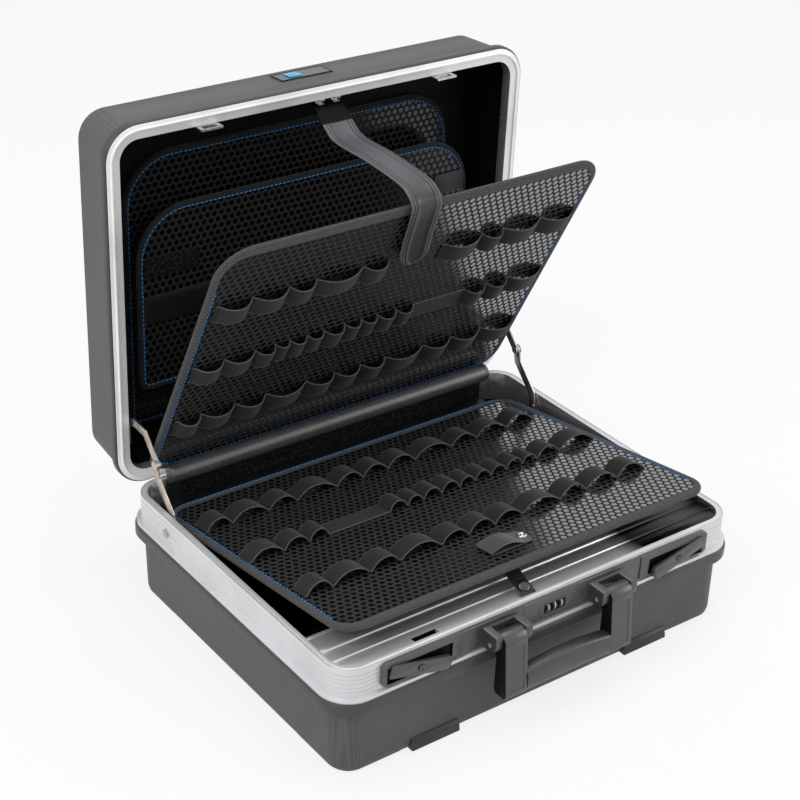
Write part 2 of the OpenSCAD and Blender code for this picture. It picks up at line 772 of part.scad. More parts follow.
module upper_binding() color([0.28, 0.28, 0.28]) on_upper() board_binding(upper_l, 35);

module upper_loops_top() color([0.3, 0.3, 0.3]) on_upper() {
  loop_band(row_top_l, upper_rows[0]);
  loop_band(row_top_r, upper_rows[0]);
}

module upper_loops_middle() color([0.3, 0.3, 0.3]) on_upper() union() {
  loop_band(row_mid_l, upper_rows[1]);
  flat_band(row_mid_l[11], row_mid_r[0], upper_rows[1]);
  loop_band(row_mid_r, upper_rows[1]);
}

module upper_loops_bottom() color([0.3, 0.3, 0.3]) on_upper()
  loop_band(row_low, upper_rows[2]);

module spine_roll() color([0.12, 0.12, 0.12]) on_upper()
  rod_x(spine_r, -soft_half, soft_half, 9.1, spine_r + seat);

// strap from the lid's hooks, over the top of the upper board and down its face
strap_band = 34;
strap_th = 1.6;
strap_x = -2;
function lid_at(y, z) = [hy + (y - hy)*cos(lid_open) + (z - hz)*sin(lid_open),
                         hz - (y - hy)*sin(lid_open) + (z - hz)*cos(lid_open)];
function upper_at(s, n) = [upper_y - s*sin(upper_lean) - n*cos(upper_lean),
                           upper_z + s*cos(upper_lean) - n*sin(upper_lean)];

module board_strap() color([0.15, 0.15, 0.15]) {
  hook_y = front + ring_in + skin + 2.7;
  along_x(strap_x - strap_band/2, strap_x + strap_band/2) bar_2d([
    upper_at(upper_l - 78, 7), upper_at(upper_l - 30, 3.6), upper_at(upper_l + 2, 3),
    upper_at(upper_l + 8, -2), upper_at(upper_l + 11, -16),
    lid_at(hook_y + 28, ring_z - 43), lid_at(hook_y + 21, ring_z - 20),
    lid_at(hook_y, ring_z - 1), lid_at(hook_y, ring_z + 5)], strap_th);
}

module lower_part() on_lower() translate([0, -lower_l, 0]) children();

module lower_board() color([0.2, 0.2, 0.2]) lower_part() board_core(lower_l, 28);

module lower_binding() color([0.28, 0.28, 0.28]) lower_part() board_binding(lower_l, 28);

module lower_loops_back() color([0.3, 0.3, 0.3]) on_lower()
  loop_band(row_even, -lower_rows[0] + loop_w);

module lower_loops_middle() color([0.3, 0.3, 0.3]) on_lower() union() {
  loop_band(row_small, -lower_rows[1] + loop_w);
  flat_band(row_small[3], row_small_r[0], -lower_rows[1] + loop_w);
  loop_band(row_small_r, -lower_rows[1] + loop_w);
}

module lower_loops_front() color([0.3, 0.3, 0.3]) on_lower()
  loop_band(row_even, -lower_rows[2] + loop_w);

// folded leather loop, open at both sides
module pull_tab() color([0.28, 0.28, 0.28]) on_lower()
  translate([0, -tab_s, seat]) rotate([90, 0, 0]) linear_extrude(tab_l) union() {
    translate([-38, 0]) square([53, loop_t]);
    arch(-37, 1, 8.4);
  }

module pull_tab_snap() color([0.7, 0.7, 0.7]) on_lower()
  translate([8.4, -tab_s - tab_l/2, seat + loop_t + skin]) cylinder(r = 5, h = 1.6);

// ---------- lid stays ----------

// unit normal of the segment after point i, and the mitre offset at point i
function seg_n(p, i) = let (v = p[i + 1] - p[i]) [-v[1], v[0]]/norm(v);
function mitre(p, i) =
  i == 0 ? seg_n(p, 0) :
  i == len(p) - 1 ? seg_n(p, i - 1) :
  (seg_n(p, i - 1) + seg_n(p, i))/(1 + seg_n(p, i - 1)*seg_n(p, i));

// flat bent strip through (y, z) points
module bar_2d(points, w) {
  n = len(points) - 1;
  polygon(concat([for (i = [0:n]) points[i] - mitre(points, i)*w/2],
                 [for (i = [n:-1:0]) points[i] + mitre(points, i)*w/2]));
}

// stay arm with a round eye at each rivet
module stay_2d(points, w) union() {
  bar_2d(points, w - 0.3);
  for (i = [0, len(points) - 1]) translate(points[i]) circle(w/2);
}

module lower_stay() difference() {
  along_x(arm_out - stay_t, arm_out)
    stay_2d([[stay_by, stay_bz], [stay_by + 4, stay_bz + 16],
             [stay_ey - 3, stay_ez - 14], [stay_ey, stay_ez]], stay_w);
  rod_x(rivet_r + fit, arm_out - 9, arm_out + 1, stay_by, stay_bz);
  rod_x(rivet_r + fit, arm_out - 9, arm_out + 1, stay_ey, stay_ez);
}

module upper_stay() difference() {
  along_x(arm_mid - stay_t, arm_mid)
    stay_2d([[stay_ey, stay_ez], [stay_ey + 24, stay_ez + 25],
             [stay_ly - 30, stay_lz + 14.5], [stay_ly, stay_lz]], stay_w - 1);
  rod_x(rivet_r + fit, arm_mid - 9, arm_mid + 1, stay_ey, stay_ez);
  rod_x(rivet_r + 0.4, arm_mid - 9, arm_mid + 1, stay_ly, stay_lz);
}

module right_lower_stay() color([0.76, 0.72, 0.7]) lower_stay();
module left_lower_stay() color([0.76, 0.72, 0.7]) mirror([1, 0, 0]) lower_stay();
module right_upper_stay() color([0.76, 0.72, 0.7]) upper_stay();
module left_upper_stay() color([0.76, 0.72, 0.7]) mirror([1, 0, 0]) upper_stay();

module right_elbow_rivet() color([0.76, 0.72, 0.7]) {
  rod_x(rivet_r, arm_mid - stay_t - 1, arm_out + 0.7, stay_ey, stay_ez);
  rod_x(rivet_r + 2, arm_mid - stay_t - 1.2, arm_mid - stay_t - 0.2, stay_ey, stay_ez);
  rod_x(rivet_r + 3.4, arm_out + 0.2, arm_out + 1, stay_ey, stay_ez);
}

module left_elbow_rivet() mirror([1, 0, 0]) right_elbow_rivet();

base_shell();
base_frame();
base_feet();
base_dividers();
wall_screws();
front_inner_profile();
left_lock_housing();
right_lock_housing();
lock_pivots();
left_handle_bracket();
right_handle_bracket();
handle_pins();
combination_plate();
dial_axle();
fabric_hinge();
stay_base_rivets();
hinge_base_leaves();
hinge_pins();
retaining_strap();
retaining_snap();
dial_left();
dial_middle();
dial_right();
left_lock_lever();
right_lock_lever();
handle_left_arm();
handle_right_arm();
handle_grip();
lid_shell();
lid_frame();
badge_plate();
badge_tile();
lid_strikers();
strap_hooks();
lid_stay_brackets();
lid_stay_rivets();
hinge_lid_leaves();
lid_rear_board();
lid_pocket_board();
lid_pocket();
upper_board();
upper_binding();
upper_loops_top();
upper_loops_middle();
upper_loops_bottom();
spine_roll();
board_strap();
lower_board();
lower_binding();
lower_loops_back();
lower_loops_middle();
lower_loops_front();
pull_tab();
pull_tab_snap();
left_lower_stay();
right_lower_stay();
left_upper_stay();
right_upper_stay();
left_elbow_rivet();
right_elbow_rivet();
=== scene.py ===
import math
import random

import bmesh
import bpy
from mathutils import Matrix, Vector


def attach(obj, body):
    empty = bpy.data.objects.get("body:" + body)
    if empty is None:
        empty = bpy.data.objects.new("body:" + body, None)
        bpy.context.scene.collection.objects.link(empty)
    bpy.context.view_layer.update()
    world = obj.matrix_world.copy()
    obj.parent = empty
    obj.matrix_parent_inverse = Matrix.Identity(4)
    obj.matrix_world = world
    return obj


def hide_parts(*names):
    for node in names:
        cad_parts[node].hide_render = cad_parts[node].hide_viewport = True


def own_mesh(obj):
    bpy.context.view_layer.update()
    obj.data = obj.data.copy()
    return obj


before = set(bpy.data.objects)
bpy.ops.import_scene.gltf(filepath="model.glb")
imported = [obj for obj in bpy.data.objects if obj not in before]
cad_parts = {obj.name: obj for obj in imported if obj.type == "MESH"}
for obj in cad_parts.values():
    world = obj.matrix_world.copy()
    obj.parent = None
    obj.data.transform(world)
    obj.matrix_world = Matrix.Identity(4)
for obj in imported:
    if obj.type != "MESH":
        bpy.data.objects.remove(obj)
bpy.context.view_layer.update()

chance = random.Random(7)

# ---------------------------------------------------------------- sizes, mm

MM = 0.001
MID_Y = -25.25                # middle of the case
FRONT = -210.75               # outer front face of the base frame
BACK = 160.25
HINGE_Y, HINGE_Z = 164.75, 113
RING_Z = 118.3                # closed lid's ring
LID_FLOOR = 68.3
BOARD_W, BOARD_T, BOARD_LIP = 450, 4.8, 0.4
WELD, FLAT = 2e-6, 0.6        # metres, and degrees, that count as none
UPPER_L, LOWER_L = 340, 326
UPPER_R, LOWER_R = 35, 28            # corners of the tool boards
BINDING_W, BINDING_SIDE = 10, 6.5    # edge tape along the ends and down the sides
LID_BOARD_R, LID_BOARD_FOOT_R = 57, 12   # corners away from the hinge and near it
LID_TAPE_W = 6.5
SEAM = 0.9                    # stitches inside the edge tape
LOOP_W, LOOP_T, LOOP_RISE = 22, 1.2, 11.1
SPINE_R, SPINE_L = 10.3, 410
PROP_L = 46                   # strap under the lower board
TAB_Y = LOWER_L - 288         # pull tab, up the lower board
GUSSET_HALF = 188.5
LOCK_RECESS = ((120.5, 194), (FRONT - 4.4, FRONT - 1.2), (92.7, 110.9))   # right-hand one; its faces are painted black as the recess's shade
HALF_STRAP = 17               # strap that holds the upper board
STITCH_PITCH, STITCH_L, STITCH_D = 5.1, 3.8, 1.25
DIAL_X, DIAL_PITCH, DIAL_R = 0.8, 8, 4.8
DIAL_Y, DIAL_Z = -211.45, 103
GRIP_Y, GRIP_Z = -244.75, 43.5   # grip's front and bottom
GRIP_HALF, GRIP_H, GRIP_ARCH, GRIP_T = 51.9, 22, 4.5, 16.5
SHADE_RUN = 26                 # length over which the ledge's metal fades into painted black shade
FLOOR_SHARE, WORLD_LIGHT = 0.8, 0.5

ROW_EVEN = [-212, -183, -140, -106, -57, -24, 8, 43, 92, 126, 168, 204]
ROW_SMALL = [-215, -177, -148, -125]
ROW_SMALL_R = [-52, -30, -10, 13, 36, 56, 77, 97, 119, 138, 169, 216]
ROW_TOP_L = [-210, -173, -132, -102, -48, -17]
ROW_TOP_R = [49, 97, 123, 173, 219]
ROW_MID_L = [-212, -179, -144, -121, -104, -84, -64, -39, -19, 1, 24, 46]
ROW_MID_R = [112, 140, 169, 218]
ROW_LOW = [-210, -183, -143, -107, -58, -22, 11, 42, 92, 130, 170, 219]


def at(x, y, z):
    return Matrix.Translation((x * MM, y * MM, z * MM))


def turn(degrees, axis):
    return Matrix.Rotation(math.radians(degrees), 4, axis)


# board places: local x across, y up the board from its edge, z out of its face
UPPER = at(0, 157.75, 125) @ turn(116.4, "X")
LOWER = at(0, 131.15, 98.2) @ turn(-8.6, "X") @ at(0, -LOWER_L, 0)
LID = at(0, HINGE_Y, HINGE_Z) @ turn(-90, "X") @ at(0, -HINGE_Y, -HINGE_Z)
REAR = LID @ at(0, HINGE_Y - 325, RING_Z + LID_FLOOR - 7.5) @ turn(180, "Y")
POCKET = LID @ at(0, HINGE_Y - 282, HINGE_Z + 33.6) @ turn(180, "Y")
STRAP = at(-21.6, FRONT + 7.9, 116.8) @ turn(24.9, "X")

# ---------------------------------------------------------------- materials


def srgb(code):
    """sRGB hex to a linear colour"""
    parts = [int(code[i:i + 2], 16) / 255 for i in (1, 3, 5)]
    return [c / 12.92 if c <= 0.04045 else ((c + 0.055) / 1.055) ** 2.4 for c in parts] + [1]


def feed(mat, node, inputs):
    """sets a node's sockets: an output is linked, a hex text is a colour"""
    for key, value in inputs.items():
        if isinstance(value, bpy.types.NodeSocket):
            mat.node_tree.links.new(value, node.inputs[key])
        else:
            node.inputs[key].default_value = srgb(value) if isinstance(value, str) else value


def add(mat, kind, inputs=None, out=0, **settings):
    """adds a node with its settings, values and links, and gives back one of its outputs"""
    node = mat.node_tree.nodes.new("ShaderNode" + kind)
    for key, value in settings.items():
        setattr(node, key, value)
    feed(mat, node, inputs or {})
    return node.outputs[out] if node.outputs else node


def finish_of(name, colour, roughness, metallic=0.0, **more):
    """new material and its shader"""
    mat = bpy.data.materials.new(name)
    mat.use_nodes = True
    shader = mat.node_tree.nodes["Principled BSDF"]
    feed(mat, shader, {"Base Color": colour, "Roughness": roughness, "Metallic": metallic})
    feed(mat, shader, {key.replace("_", " "): value for key, value in more.items()})
    return mat, shader


def toned(mat, pattern, start, end, low, high):
    """colour that goes from low to high as a pattern goes from start to end"""
    share = add(mat, "MapRange", {0: pattern, 1: start, 2: end})
    return add(mat, "Mix", {0: share, 6: low, 7: high}, 2, data_type="RGBA")


def dressed(mat, shader, tone, gloss, relief):
    """the finished material: gloss is (pattern, its start, its end, roughness there and there),
    and relief is (pattern, depth in mm, strength)"""
    feed(mat, shader, {"Base Color": tone})
    if gloss:
        feed(mat, shader, {"Roughness": add(mat, "MapRange", dict(enumerate(gloss)))})
    height, depth, strength = relief
    feed(mat, shader, {"Normal": add(mat, "Bump", {"Height": height, "Distance": depth * MM,
                                                   "Strength": strength})})
    return mat


def wave_product(mat, vector, directions, pitch_mm):
    """product of waves along some directions, one ridge every pitch"""
    total = None
    for d in directions:
        k = 2 * math.pi / (pitch_mm * MM)
        dot = add(mat, "VectorMath", {0: vector, 1: [c * k for c in d]}, "Value",
                  operation="DOT_PRODUCT")
        wave = add(mat, "Math", {0: dot}, operation="SINE")
        total = wave if total is None else add(mat, "Math", {0: total, 1: wave},
                                               operation="MULTIPLY")
    return total


def moulded_abs(name, colour, lighter, roughness):
    """Moulded ABS with an engraved diagonal hatch: soft, slightly mottled grey with a
    low sheen. The real hatch is about 1 mm; it is drawn at 2.6 mm so that it shows."""
    mat, shader = finish_of(name, colour, roughness, Specular_IOR_Level=0.22)
    p = add(mat, "TexCoord", out="Object")
    hatch = wave_product(mat, p, [(0.6, 0.6, 0.6), (0.6, 0.6, -0.6)], 2.6)
    cloud = add(mat, "TexNoise", {"Vector": p, "Scale": 9, "Detail": 3})
    mixed = add(mat, "Math", {0: hatch, 1: 0.3, 2: cloud}, operation="MULTIPLY_ADD")
    return dressed(mat, shader, toned(mat, mixed, 0.2, 0.8, colour, lighter),
                   (cloud, 0.3, 0.7, roughness - 0.05, roughness + 0.06), (hatch, 0.2, 0.8))


def extruded_aluminium(name, axis, colour="#e6e7e8", roughness=0.36, line_mm=1.6, metallic=0.55,
                       shade_from=None, rubbed="#d2d3d5", line_depth=0.2):
    """Anodised extruded aluminium: satin, with die lines that run along the profile;
    the x, in mm, past which it fades to black (painted shade and a painted dark reflection) is
    given after metallic."""
    mat, shader = finish_of(name, colour, roughness, metallic)
    p = add(mat, "TexCoord", out="Object")
    across = [0.6, 0.6, 0.6]
    across[axis] = 1000 / line_mm
    along = add(mat, "Mapping", {"Vector": p, "Scale": across})
    lines = add(mat, "TexNoise", {"Vector": along, "Scale": 1.0, "Detail": 3, "Roughness": 0.7})
    rub = add(mat, "TexNoise", {"Vector": p, "Scale": 14})
    tone = toned(mat, rub, 0.35, 0.7, colour, rubbed)
    if shade_from:
        x = add(mat, "SeparateXYZ", {0: p})
        # painted shade: past the given x the metal fades to near black, for the shade and dark
        # reflection under the board
        tone = toned(mat, x, shade_from * MM, (shade_from + SHADE_RUN) * MM, tone, "#141415")
    return dressed(mat, shader, tone, (lines, 0.3, 0.7, roughness - 0.03, roughness + 0.04),
                   (lines, 0.012, line_depth))


def sheet_metal(name, colour, darker, roughness):
    """Plated pressed steel: bright, faintly mottled, with fine rolling marks."""
    mat, shader = finish_of(name, colour, roughness, 1.0)
    p = add(mat, "TexCoord", out="Object")
    rolled = add(mat, "Mapping", {"Vector": p, "Scale": (900, 900, 120)})
    marks = add(mat, "TexNoise", {"Vector": rolled, "Scale": 1.0})
    spots = add(mat, "TexNoise", {"Vector": p, "Scale": 140, "Detail": 3, "Roughness": 0.6})
    return dressed(mat, shader, toned(mat, spots, 0.35, 0.7, colour, darker),
                   (marks, 0.3, 0.7, roughness - 0.06, roughness + 0.1), (marks, 0.03, 0.4))


def moulded_nylon(name, colour, lighter, roughness, grain_mm=0.7, sheen=0.28):
    """Glass-filled nylon: dark, with the fine even grain of a spark-eroded mould."""
    mat, shader = finish_of(name, colour, roughness, Specular_IOR_Level=sheen)
    p = add(mat, "TexCoord", out="Object")
    grain = add(mat, "TexNoise", {"Vector": p, "Scale": 1000 / grain_mm, "Roughness": 0.6})
    cloud = add(mat, "TexNoise", {"Vector": p, "Scale": 30, "Detail": 3})
    return dressed(mat, shader, toned(mat, cloud, 0.3, 0.75, colour, lighter),
                   (grain, 0.3, 0.7, roughness - 0.06, roughness + 0.08), (grain, 0.06, 0.5))


def dotted_web(name, web, dot, film=1.0, pitch=8.0, radius=3.05):
    """Laminated spacer fabric: matte grey web over a glossy black film that shows in round
    dots. It reads the board's own UV map, which is in millimetres."""
    mat, shader = finish_of(name, web, 0.85, Coat_Roughness=0.16, Coat_IOR=1.75)
    uv = add(mat, "TexCoord", out="UV")
    row = pitch * math.sqrt(3)
    nearest = None
    for shift in ((0, 0, 0), (pitch / 2, row / 2, 0)):
        cell = uv
        for operation, by in (("ADD", shift), ("MULTIPLY", (1 / pitch, 1 / row, 0)),
                              ("FRACTION", None), ("SUBTRACT", (0.5, 0.5, 0)),
                              ("MULTIPLY", (pitch, row, 0))):
            cell = add(mat, "VectorMath", {0: cell, 1: by} if by else {0: cell},
                       operation=operation)
        far = add(mat, "VectorMath", {0: cell}, "Value", operation="LENGTH")
        nearest = far if nearest is None else add(mat, "Math", {0: nearest, 1: far},
                                                  operation="MINIMUM")
    rim = add(mat, "MapRange", {0: nearest, 1: radius - 0.35, 2: radius + 0.3})
    fibre = add(mat, "TexNoise", {"Vector": uv, "Scale": 1.9, "Detail": 3, "Roughness": 0.7})
    cloth = toned(mat, fibre, 0.3, 0.7, web, "#232323")
    tone = add(mat, "Mix", {0: rim, 6: dot, 7: cloth}, 2, data_type="RGBA")
    feed(mat, shader, {
        "Specular IOR Level": add(mat, "MapRange", {0: rim, 3: 0.9 * film, 4: 0.12}),
        "Coat Weight": add(mat, "MapRange", {0: rim, 2: 0.6, 3: film, 4: 0})})
    height = add(mat, "Math", {0: fibre, 1: 0.12, 2: rim}, operation="MULTIPLY_ADD")
    return dressed(mat, shader, tone, (rim, 0, 1, 0.13, 0.85), (height, 0.55, 0.9))


def woven_tape(name, colour, lighter, rib_mm=0.9):
    """Woven polyamide edge tape: matte, with a close rib, drawn about twice as coarse as the
    real one so that it shows."""
    mat, shader = finish_of(name, colour, 0.88, Specular_IOR_Level=0.15, Sheen_Weight=0.12)
    p = add(mat, "TexCoord", out="Object")
    rib = wave_product(mat, p, [(0.7, 0.4, 0.4), (0.7, -0.4, -0.4)], rib_mm * 2)
    fuzz = add(mat, "TexNoise", {"Vector": p, "Scale": 500, "Detail": 3, "Roughness": 0.7})
    weave = add(mat, "Math", {0: rib, 1: 0.25, 2: fuzz}, operation="MULTIPLY_ADD")
    return dressed(mat, shader, toned(mat, weave, 0.2, 0.85, colour, lighter), None,
                   (weave, 0.18, 0.6))


def elastic_band(name, colour, selvedge, rib_mm=1.1):
    """Knitted elastic: matte, fine ribs along its length, a paler selvedge at both edges.
    Its UV map is in millimetres, v across the band."""
    mat, shader = finish_of(name, colour, 0.82, Specular_IOR_Level=0.2, Sheen_Weight=0.1)
    uv = add(mat, "TexCoord", out="UV")
    v = add(mat, "SeparateXYZ", {0: uv}, "Y")
    wave = add(mat, "Math", {0: v, 1: 2 * math.pi / rib_mm}, operation="MULTIPLY")
    rib = add(mat, "Math", {0: wave}, operation="SINE")
    fuzz = add(mat, "TexNoise", {"Vector": uv, "Scale": 0.9, "Detail": 3, "Roughness": 0.8})
    middle = add(mat, "Math", {0: v, 1: LOOP_W / 2}, operation="SUBTRACT")
    middle = add(mat, "Math", {0: middle}, operation="ABSOLUTE")
    knit = add(mat, "Math", {0: rib, 1: 0.12, 2: fuzz}, operation="MULTIPLY_ADD")
    cloth = toned(mat, knit, 0.3, 0.7, colour, "#303031")
    tone = toned(mat, middle, LOOP_W / 2 - 0.75, LOOP_W / 2 - 0.45, cloth, selvedge)
    return dressed(mat, shader, tone, None, (knit, 0.15, 0.6))


def leatherette(name, colour, lighter, roughness, pebble_mm=1.3, gloss=0.4):
    """Embossed PVC leather: pebbled grain with a soft gloss."""
    mat, shader = finish_of(name, colour, roughness, Specular_IOR_Level=gloss)
    p = add(mat, "TexCoord", out="Object")
    cells = add(mat, "TexVoronoi", {"Vector": p, "Scale": 1000 / pebble_mm}, "Distance",
                feature="F1")
    cloud = add(mat, "TexNoise", {"Vector": p, "Scale": 18, "Detail": 4, "Roughness": 0.6})
    return dressed(mat, shader, toned(mat, cloud, 0.3, 0.75, colour, lighter),
                   (cells, 0.1, 0.7, roughness - 0.06, roughness + 0.12), (cells, -0.12, 0.5))


def strap_leather(name):
    """Grey PVC leather strap: a thin painted highlight along each folded edge, a dark sewn groove
    inside each, and painted shade that darkens it towards the tip. Its UV map is in millimetres,
    u along the strap."""
    mat, shader = finish_of(name, "#505156", 0.36, Specular_IOR_Level=0.45)
    uv = add(mat, "TexCoord", out="UV")
    u, v, _ = add(mat, "SeparateXYZ", {0: uv}).node.outputs
    across = add(mat, "Math", {0: v}, operation="ABSOLUTE")
    cloud = add(mat, "TexNoise", {"Vector": uv, "Scale": 0.05, "Detail": 3, "Roughness": 0.6})
    along = add(mat, "Math", {0: cloud, 1: 30, 2: u}, operation="MULTIPLY_ADD")
    # painted shade: darker towards the tip
    tone = toned(mat, along, 150, 235, "#4c4d52", "#29292b")
    # painted highlight: a lighter line along each folded edge
    tone = toned(mat, across, 12.0, 12.5, tone, "#55565a")
    for a, b in ((9.9, 11.3), (13.4, 14.6)):
        groove = add(mat, "Math", {
            0: add(mat, "MapRange", {0: across, 1: a, 2: a + 0.3}),
            1: add(mat, "MapRange", {0: across, 1: b - 0.3, 2: b, 3: 1, 4: 0})},
                     operation="MULTIPLY")
        tone = add(mat, "Mix", {0: groove, 6: tone, 7: "#141415"}, 2, data_type="RGBA")
    cells = add(mat, "TexVoronoi", {"Vector": uv, "Scale": 1.2}, "Distance", feature="F1")
    return dressed(mat, shader, tone, (cells, 0.1, 0.7, 0.28, 0.46), (cells, -0.1, 0.4))


def hook_tape(name):
    """Woven hook-and-loop tape: deep black pile with stray fibres that catch light."""
    mat, shader = finish_of(name, "#0a0a0a", 0.95, Specular_IOR_Level=0.1)
    p = add(mat, "TexCoord", out="Object")
    pile = add(mat, "TexNoise", {"Vector": p, "Scale": 620, "Detail": 4, "Roughness": 0.8})
    return dressed(mat, shader, toned(mat, pile, 0.5, 0.72, "#070707", "#4c4c4c"), None,
                   (pile, 0.9, 1.0))


def sewing_thread(name, colour, darker, twist_mm=0.7):
    """Twisted polyester thread: slight gloss and a two-tone twist."""
    mat, shader = finish_of(name, colour, 0.5, Specular_IOR_Level=0.3)
    twist = wave_product(mat, add(mat, "TexCoord", out="Object"), [(1, 1, 1)], twist_mm)
    return dressed(mat, shader, toned(mat, twist, -0.6, 0.8, darker, colour), None,
                   (twist, 0.08, 0.4))


def enamel(name, colour, darker, roughness):
    """Smooth coated badge or printed figure with very faint flow in the coat."""
    mat, shader = finish_of(name, colour, roughness)
    p = add(mat, "TexCoord", out="Object")
    flow = add(mat, "TexNoise", {"Vector": p, "Scale": 90, "Detail": 3})
    return dressed(mat, shader, toned(mat, flow, 0.35, 0.7, colour, darker), None,
                   (flow, 0.02, 0.3))


SHELL = moulded_abs("moulded_abs_shell", "#47484a", "#626365", 0.5)
# black ABS for the dividers; also painted shade, where faces are made black for the shade on
# them: the shells' insides, the lock recesses, the ledge's slots and the handle arms' sides
BLACK_AND_PAINTED_SHADE = moulded_nylon("black_abs_and_painted_shade", "#050505", "#0a0a0b", 0.6, 0.7, 0.12)
BASE_RAIL = extruded_aluminium("extruded_aluminium_base", 2, "#dfe0e2", metallic=0.4,
                               line_depth=0.05)
LID_RAIL = extruded_aluminium("extruded_aluminium_lid", 1, "#fcfcfc", 0.34, 1.6, 0.2, None,
                              "#e6e6e6")
# the ledge fades to black from x = 100 mm: painted shade and dark reflection under the board
LEDGE = extruded_aluminium("drawn_aluminium_ledge", 1, "#d4d5d7", 0.34, 0.9, 0.6, 100)
RAIL_INSIDE = extruded_aluminium("polished_aluminium_inside", 2, "#dcdddf", 0.24, 1.6, 0.85)
NICKEL = sheet_metal("nickel_plated_steel", "#c9c0b8", "#a89f97", 0.32)
ZINC = sheet_metal("zinc_plated_steel", "#d2d3d5", "#aeb0b3", 0.28)
# steel painted black as shade, for the hinge that sits in the dark behind the roll
SHADE_BLACK_STEEL = sheet_metal("steel_painted_black_as_shade", "#19191a", "#0e0e0f", 0.45)
BURNISHED = sheet_metal("burnished_steel", "#6a6a6c", "#48484a", 0.35)
NYLON = moulded_nylon("glass_filled_nylon", "#333436", "#3c3d3f", 0.34, 0.7, 0.8)
LOCK_NYLON = moulded_nylon("lock_nylon", "#4b4c4e", "#555658", 0.38, 0.7, 0.5)
GRIP = moulded_nylon("grip_elastomer", "#2b2c2e", "#343537", 0.36, 0.9, 0.7)
# the feet's own nylon; also painted shade on the handle brackets' sideways faces
FOOT_AND_SIDE_SHADE = moulded_nylon("foot_nylon_and_side_shade", "#252628", "#2e2f31", 0.45, 0.7, 0.4)
CAP = moulded_nylon("snap_cap_nylon", "#101011", "#161617", 0.2, 0.7, 1.0)
DIAL = moulded_nylon("dial_nylon", "#161617", "#202021", 0.35)
BADGE_PANEL = moulded_nylon("badge_panel_abs", "#5c5d60", "#68696c", 0.4, 0.7, 0.4)
BEAD = moulded_nylon("smooth_abs_bead", "#3c3d3f", "#454648", 0.4, 0.7, 0.4)
WEB = dotted_web("spacer_fabric_web", "#3c3c3c", "#050506")
WEB_DARK = dotted_web("spacer_fabric_web_lid", "#272727", "#040405", 0.3)
BINDING = woven_tape("woven_edge_tape", "#333334", "#5c5c5d")
BINDING_DARK = woven_tape("woven_edge_tape_lid", "#161616", "#262626")
ELASTIC = elastic_band("knitted_elastic", "#161617", "#5e5e5f")
ROLL_LEATHER = leatherette("padded_leatherette", "#363638", "#474749", 0.24, 1.1, 1.0)
BLACK_LEATHER = leatherette("black_leatherette", "#0e0e0f", "#19191a", 0.36)
GREY_LEATHER = leatherette("grey_leatherette", "#4a4a4d", "#56565a", 0.4)
STRAP_LEATHER = strap_leather("strap_leatherette")
TAPE = hook_tape("hook_tape_pile")
BLUE_THREAD = sewing_thread("blue_thread", "#22a4ff", "#1b86d8")
DARK_THREAD = sewing_thread("dark_thread", "#1c1c1d", "#0c0c0c")
FIGURES = enamel("white_figures", "#f2f2ee", "#dcdcd8", 0.5)
BADGE_BLUE = enamel("blue_badge", "#29abe2", "#1f97cc", 0.25)

# ---------------------------------------------------------------- mesh tools


def grown(bm, name, mat, body, slot, replaces=(), smooth=35, modifiers=()):
    """turns a bmesh, in metres in the row frame, into a piece on its body"""
    bmesh.ops.recalc_face_normals(bm, faces=bm.faces)
    return kept(bm, name, mat, body, slot, replaces, smooth, modifiers)


def kept(bm, name, mat, body, slot, replaces=(), smooth=35, modifiers=()):
    """as grown, for a bmesh whose faces already point outwards"""
    mesh = bpy.data.meshes.new(name)
    for face in bm.faces:
        face.smooth = True
    limit = math.radians(smooth)
    for edge in bm.edges:
        edge.smooth = len(edge.link_faces) == 2 and edge.calc_face_angle(0) < limit
    bm.to_mesh(mesh)
    bm.free()
    for m in mat if isinstance(mat, list) else [mat]:
        mesh.materials.append(m)
    obj = bpy.data.objects.new(name, mesh)
    bpy.context.scene.collection.objects.link(obj)
    for kind, settings in modifiers:
        modifier = obj.modifiers.new(kind.lower(), kind)
        for key, value in settings.items():
            setattr(modifier, key, value)
    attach(obj, body)
    if replaces:
        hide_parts(*replaces)
    return obj


def walled(thick):
    """modifier that makes a wall, in mm, of a sheet"""
    return "SOLIDIFY", {"thickness": thick * MM, "offset": 0}


def uv_mm(bm, to_uv):
    """writes a UV map in millimetres from each vertex's local place"""
    layer = bm.loops.layers.uv.verify()
    for face in bm.faces:
        for loop in face.loops:
            loop[layer].uv = to_uv(loop.vert.co)


def rounded_face(bm, w, l, r, n=0.0, segments=9, far=None):
    """rounded rectangle from y = 0 to y = l, in mm; far is the radius of the corners at l"""
    made = bmesh.ops.create_grid(bm, x_segments=1, y_segments=1, size=0.5)["verts"]
    bmesh.ops.scale(bm, verts=made, vec=(w, l, 1))
    bmesh.ops.translate(bm, verts=made, vec=(0, l / 2, n))
    ends = [(made, r)] if far is None else [([v for v in made if v.co.y < l / 2], r),
                                            ([v for v in made if v.co.y > l / 2], far)]
    for verts, radius in ends:
        bmesh.ops.bevel(bm, geom=verts, offset=radius, affect="VERTICES", segments=segments,
                        profile=0.5, material=-1)
    return max(bm.faces, key=lambda f: f.calc_area())


def round_edges(bm, edges, width, segments=3):
    if edges:
        bmesh.ops.bevel(bm, geom=edges, offset=width, offset_type="OFFSET", affect="EDGES",
                        segments=segments, profile=0.5, material=-1, clamp_overlap=True)


def sharp_edges(bm, degrees):
    return [e for e in bm.edges if len(e.link_faces) == 2
            and e.calc_face_angle(0) > math.radians(degrees)]


def put(bm, matrix=Matrix()):
    """mm in local axes to metres in the row frame"""
    bmesh.ops.transform(bm, matrix=matrix @ Matrix.Scale(MM, 4), verts=bm.verts)


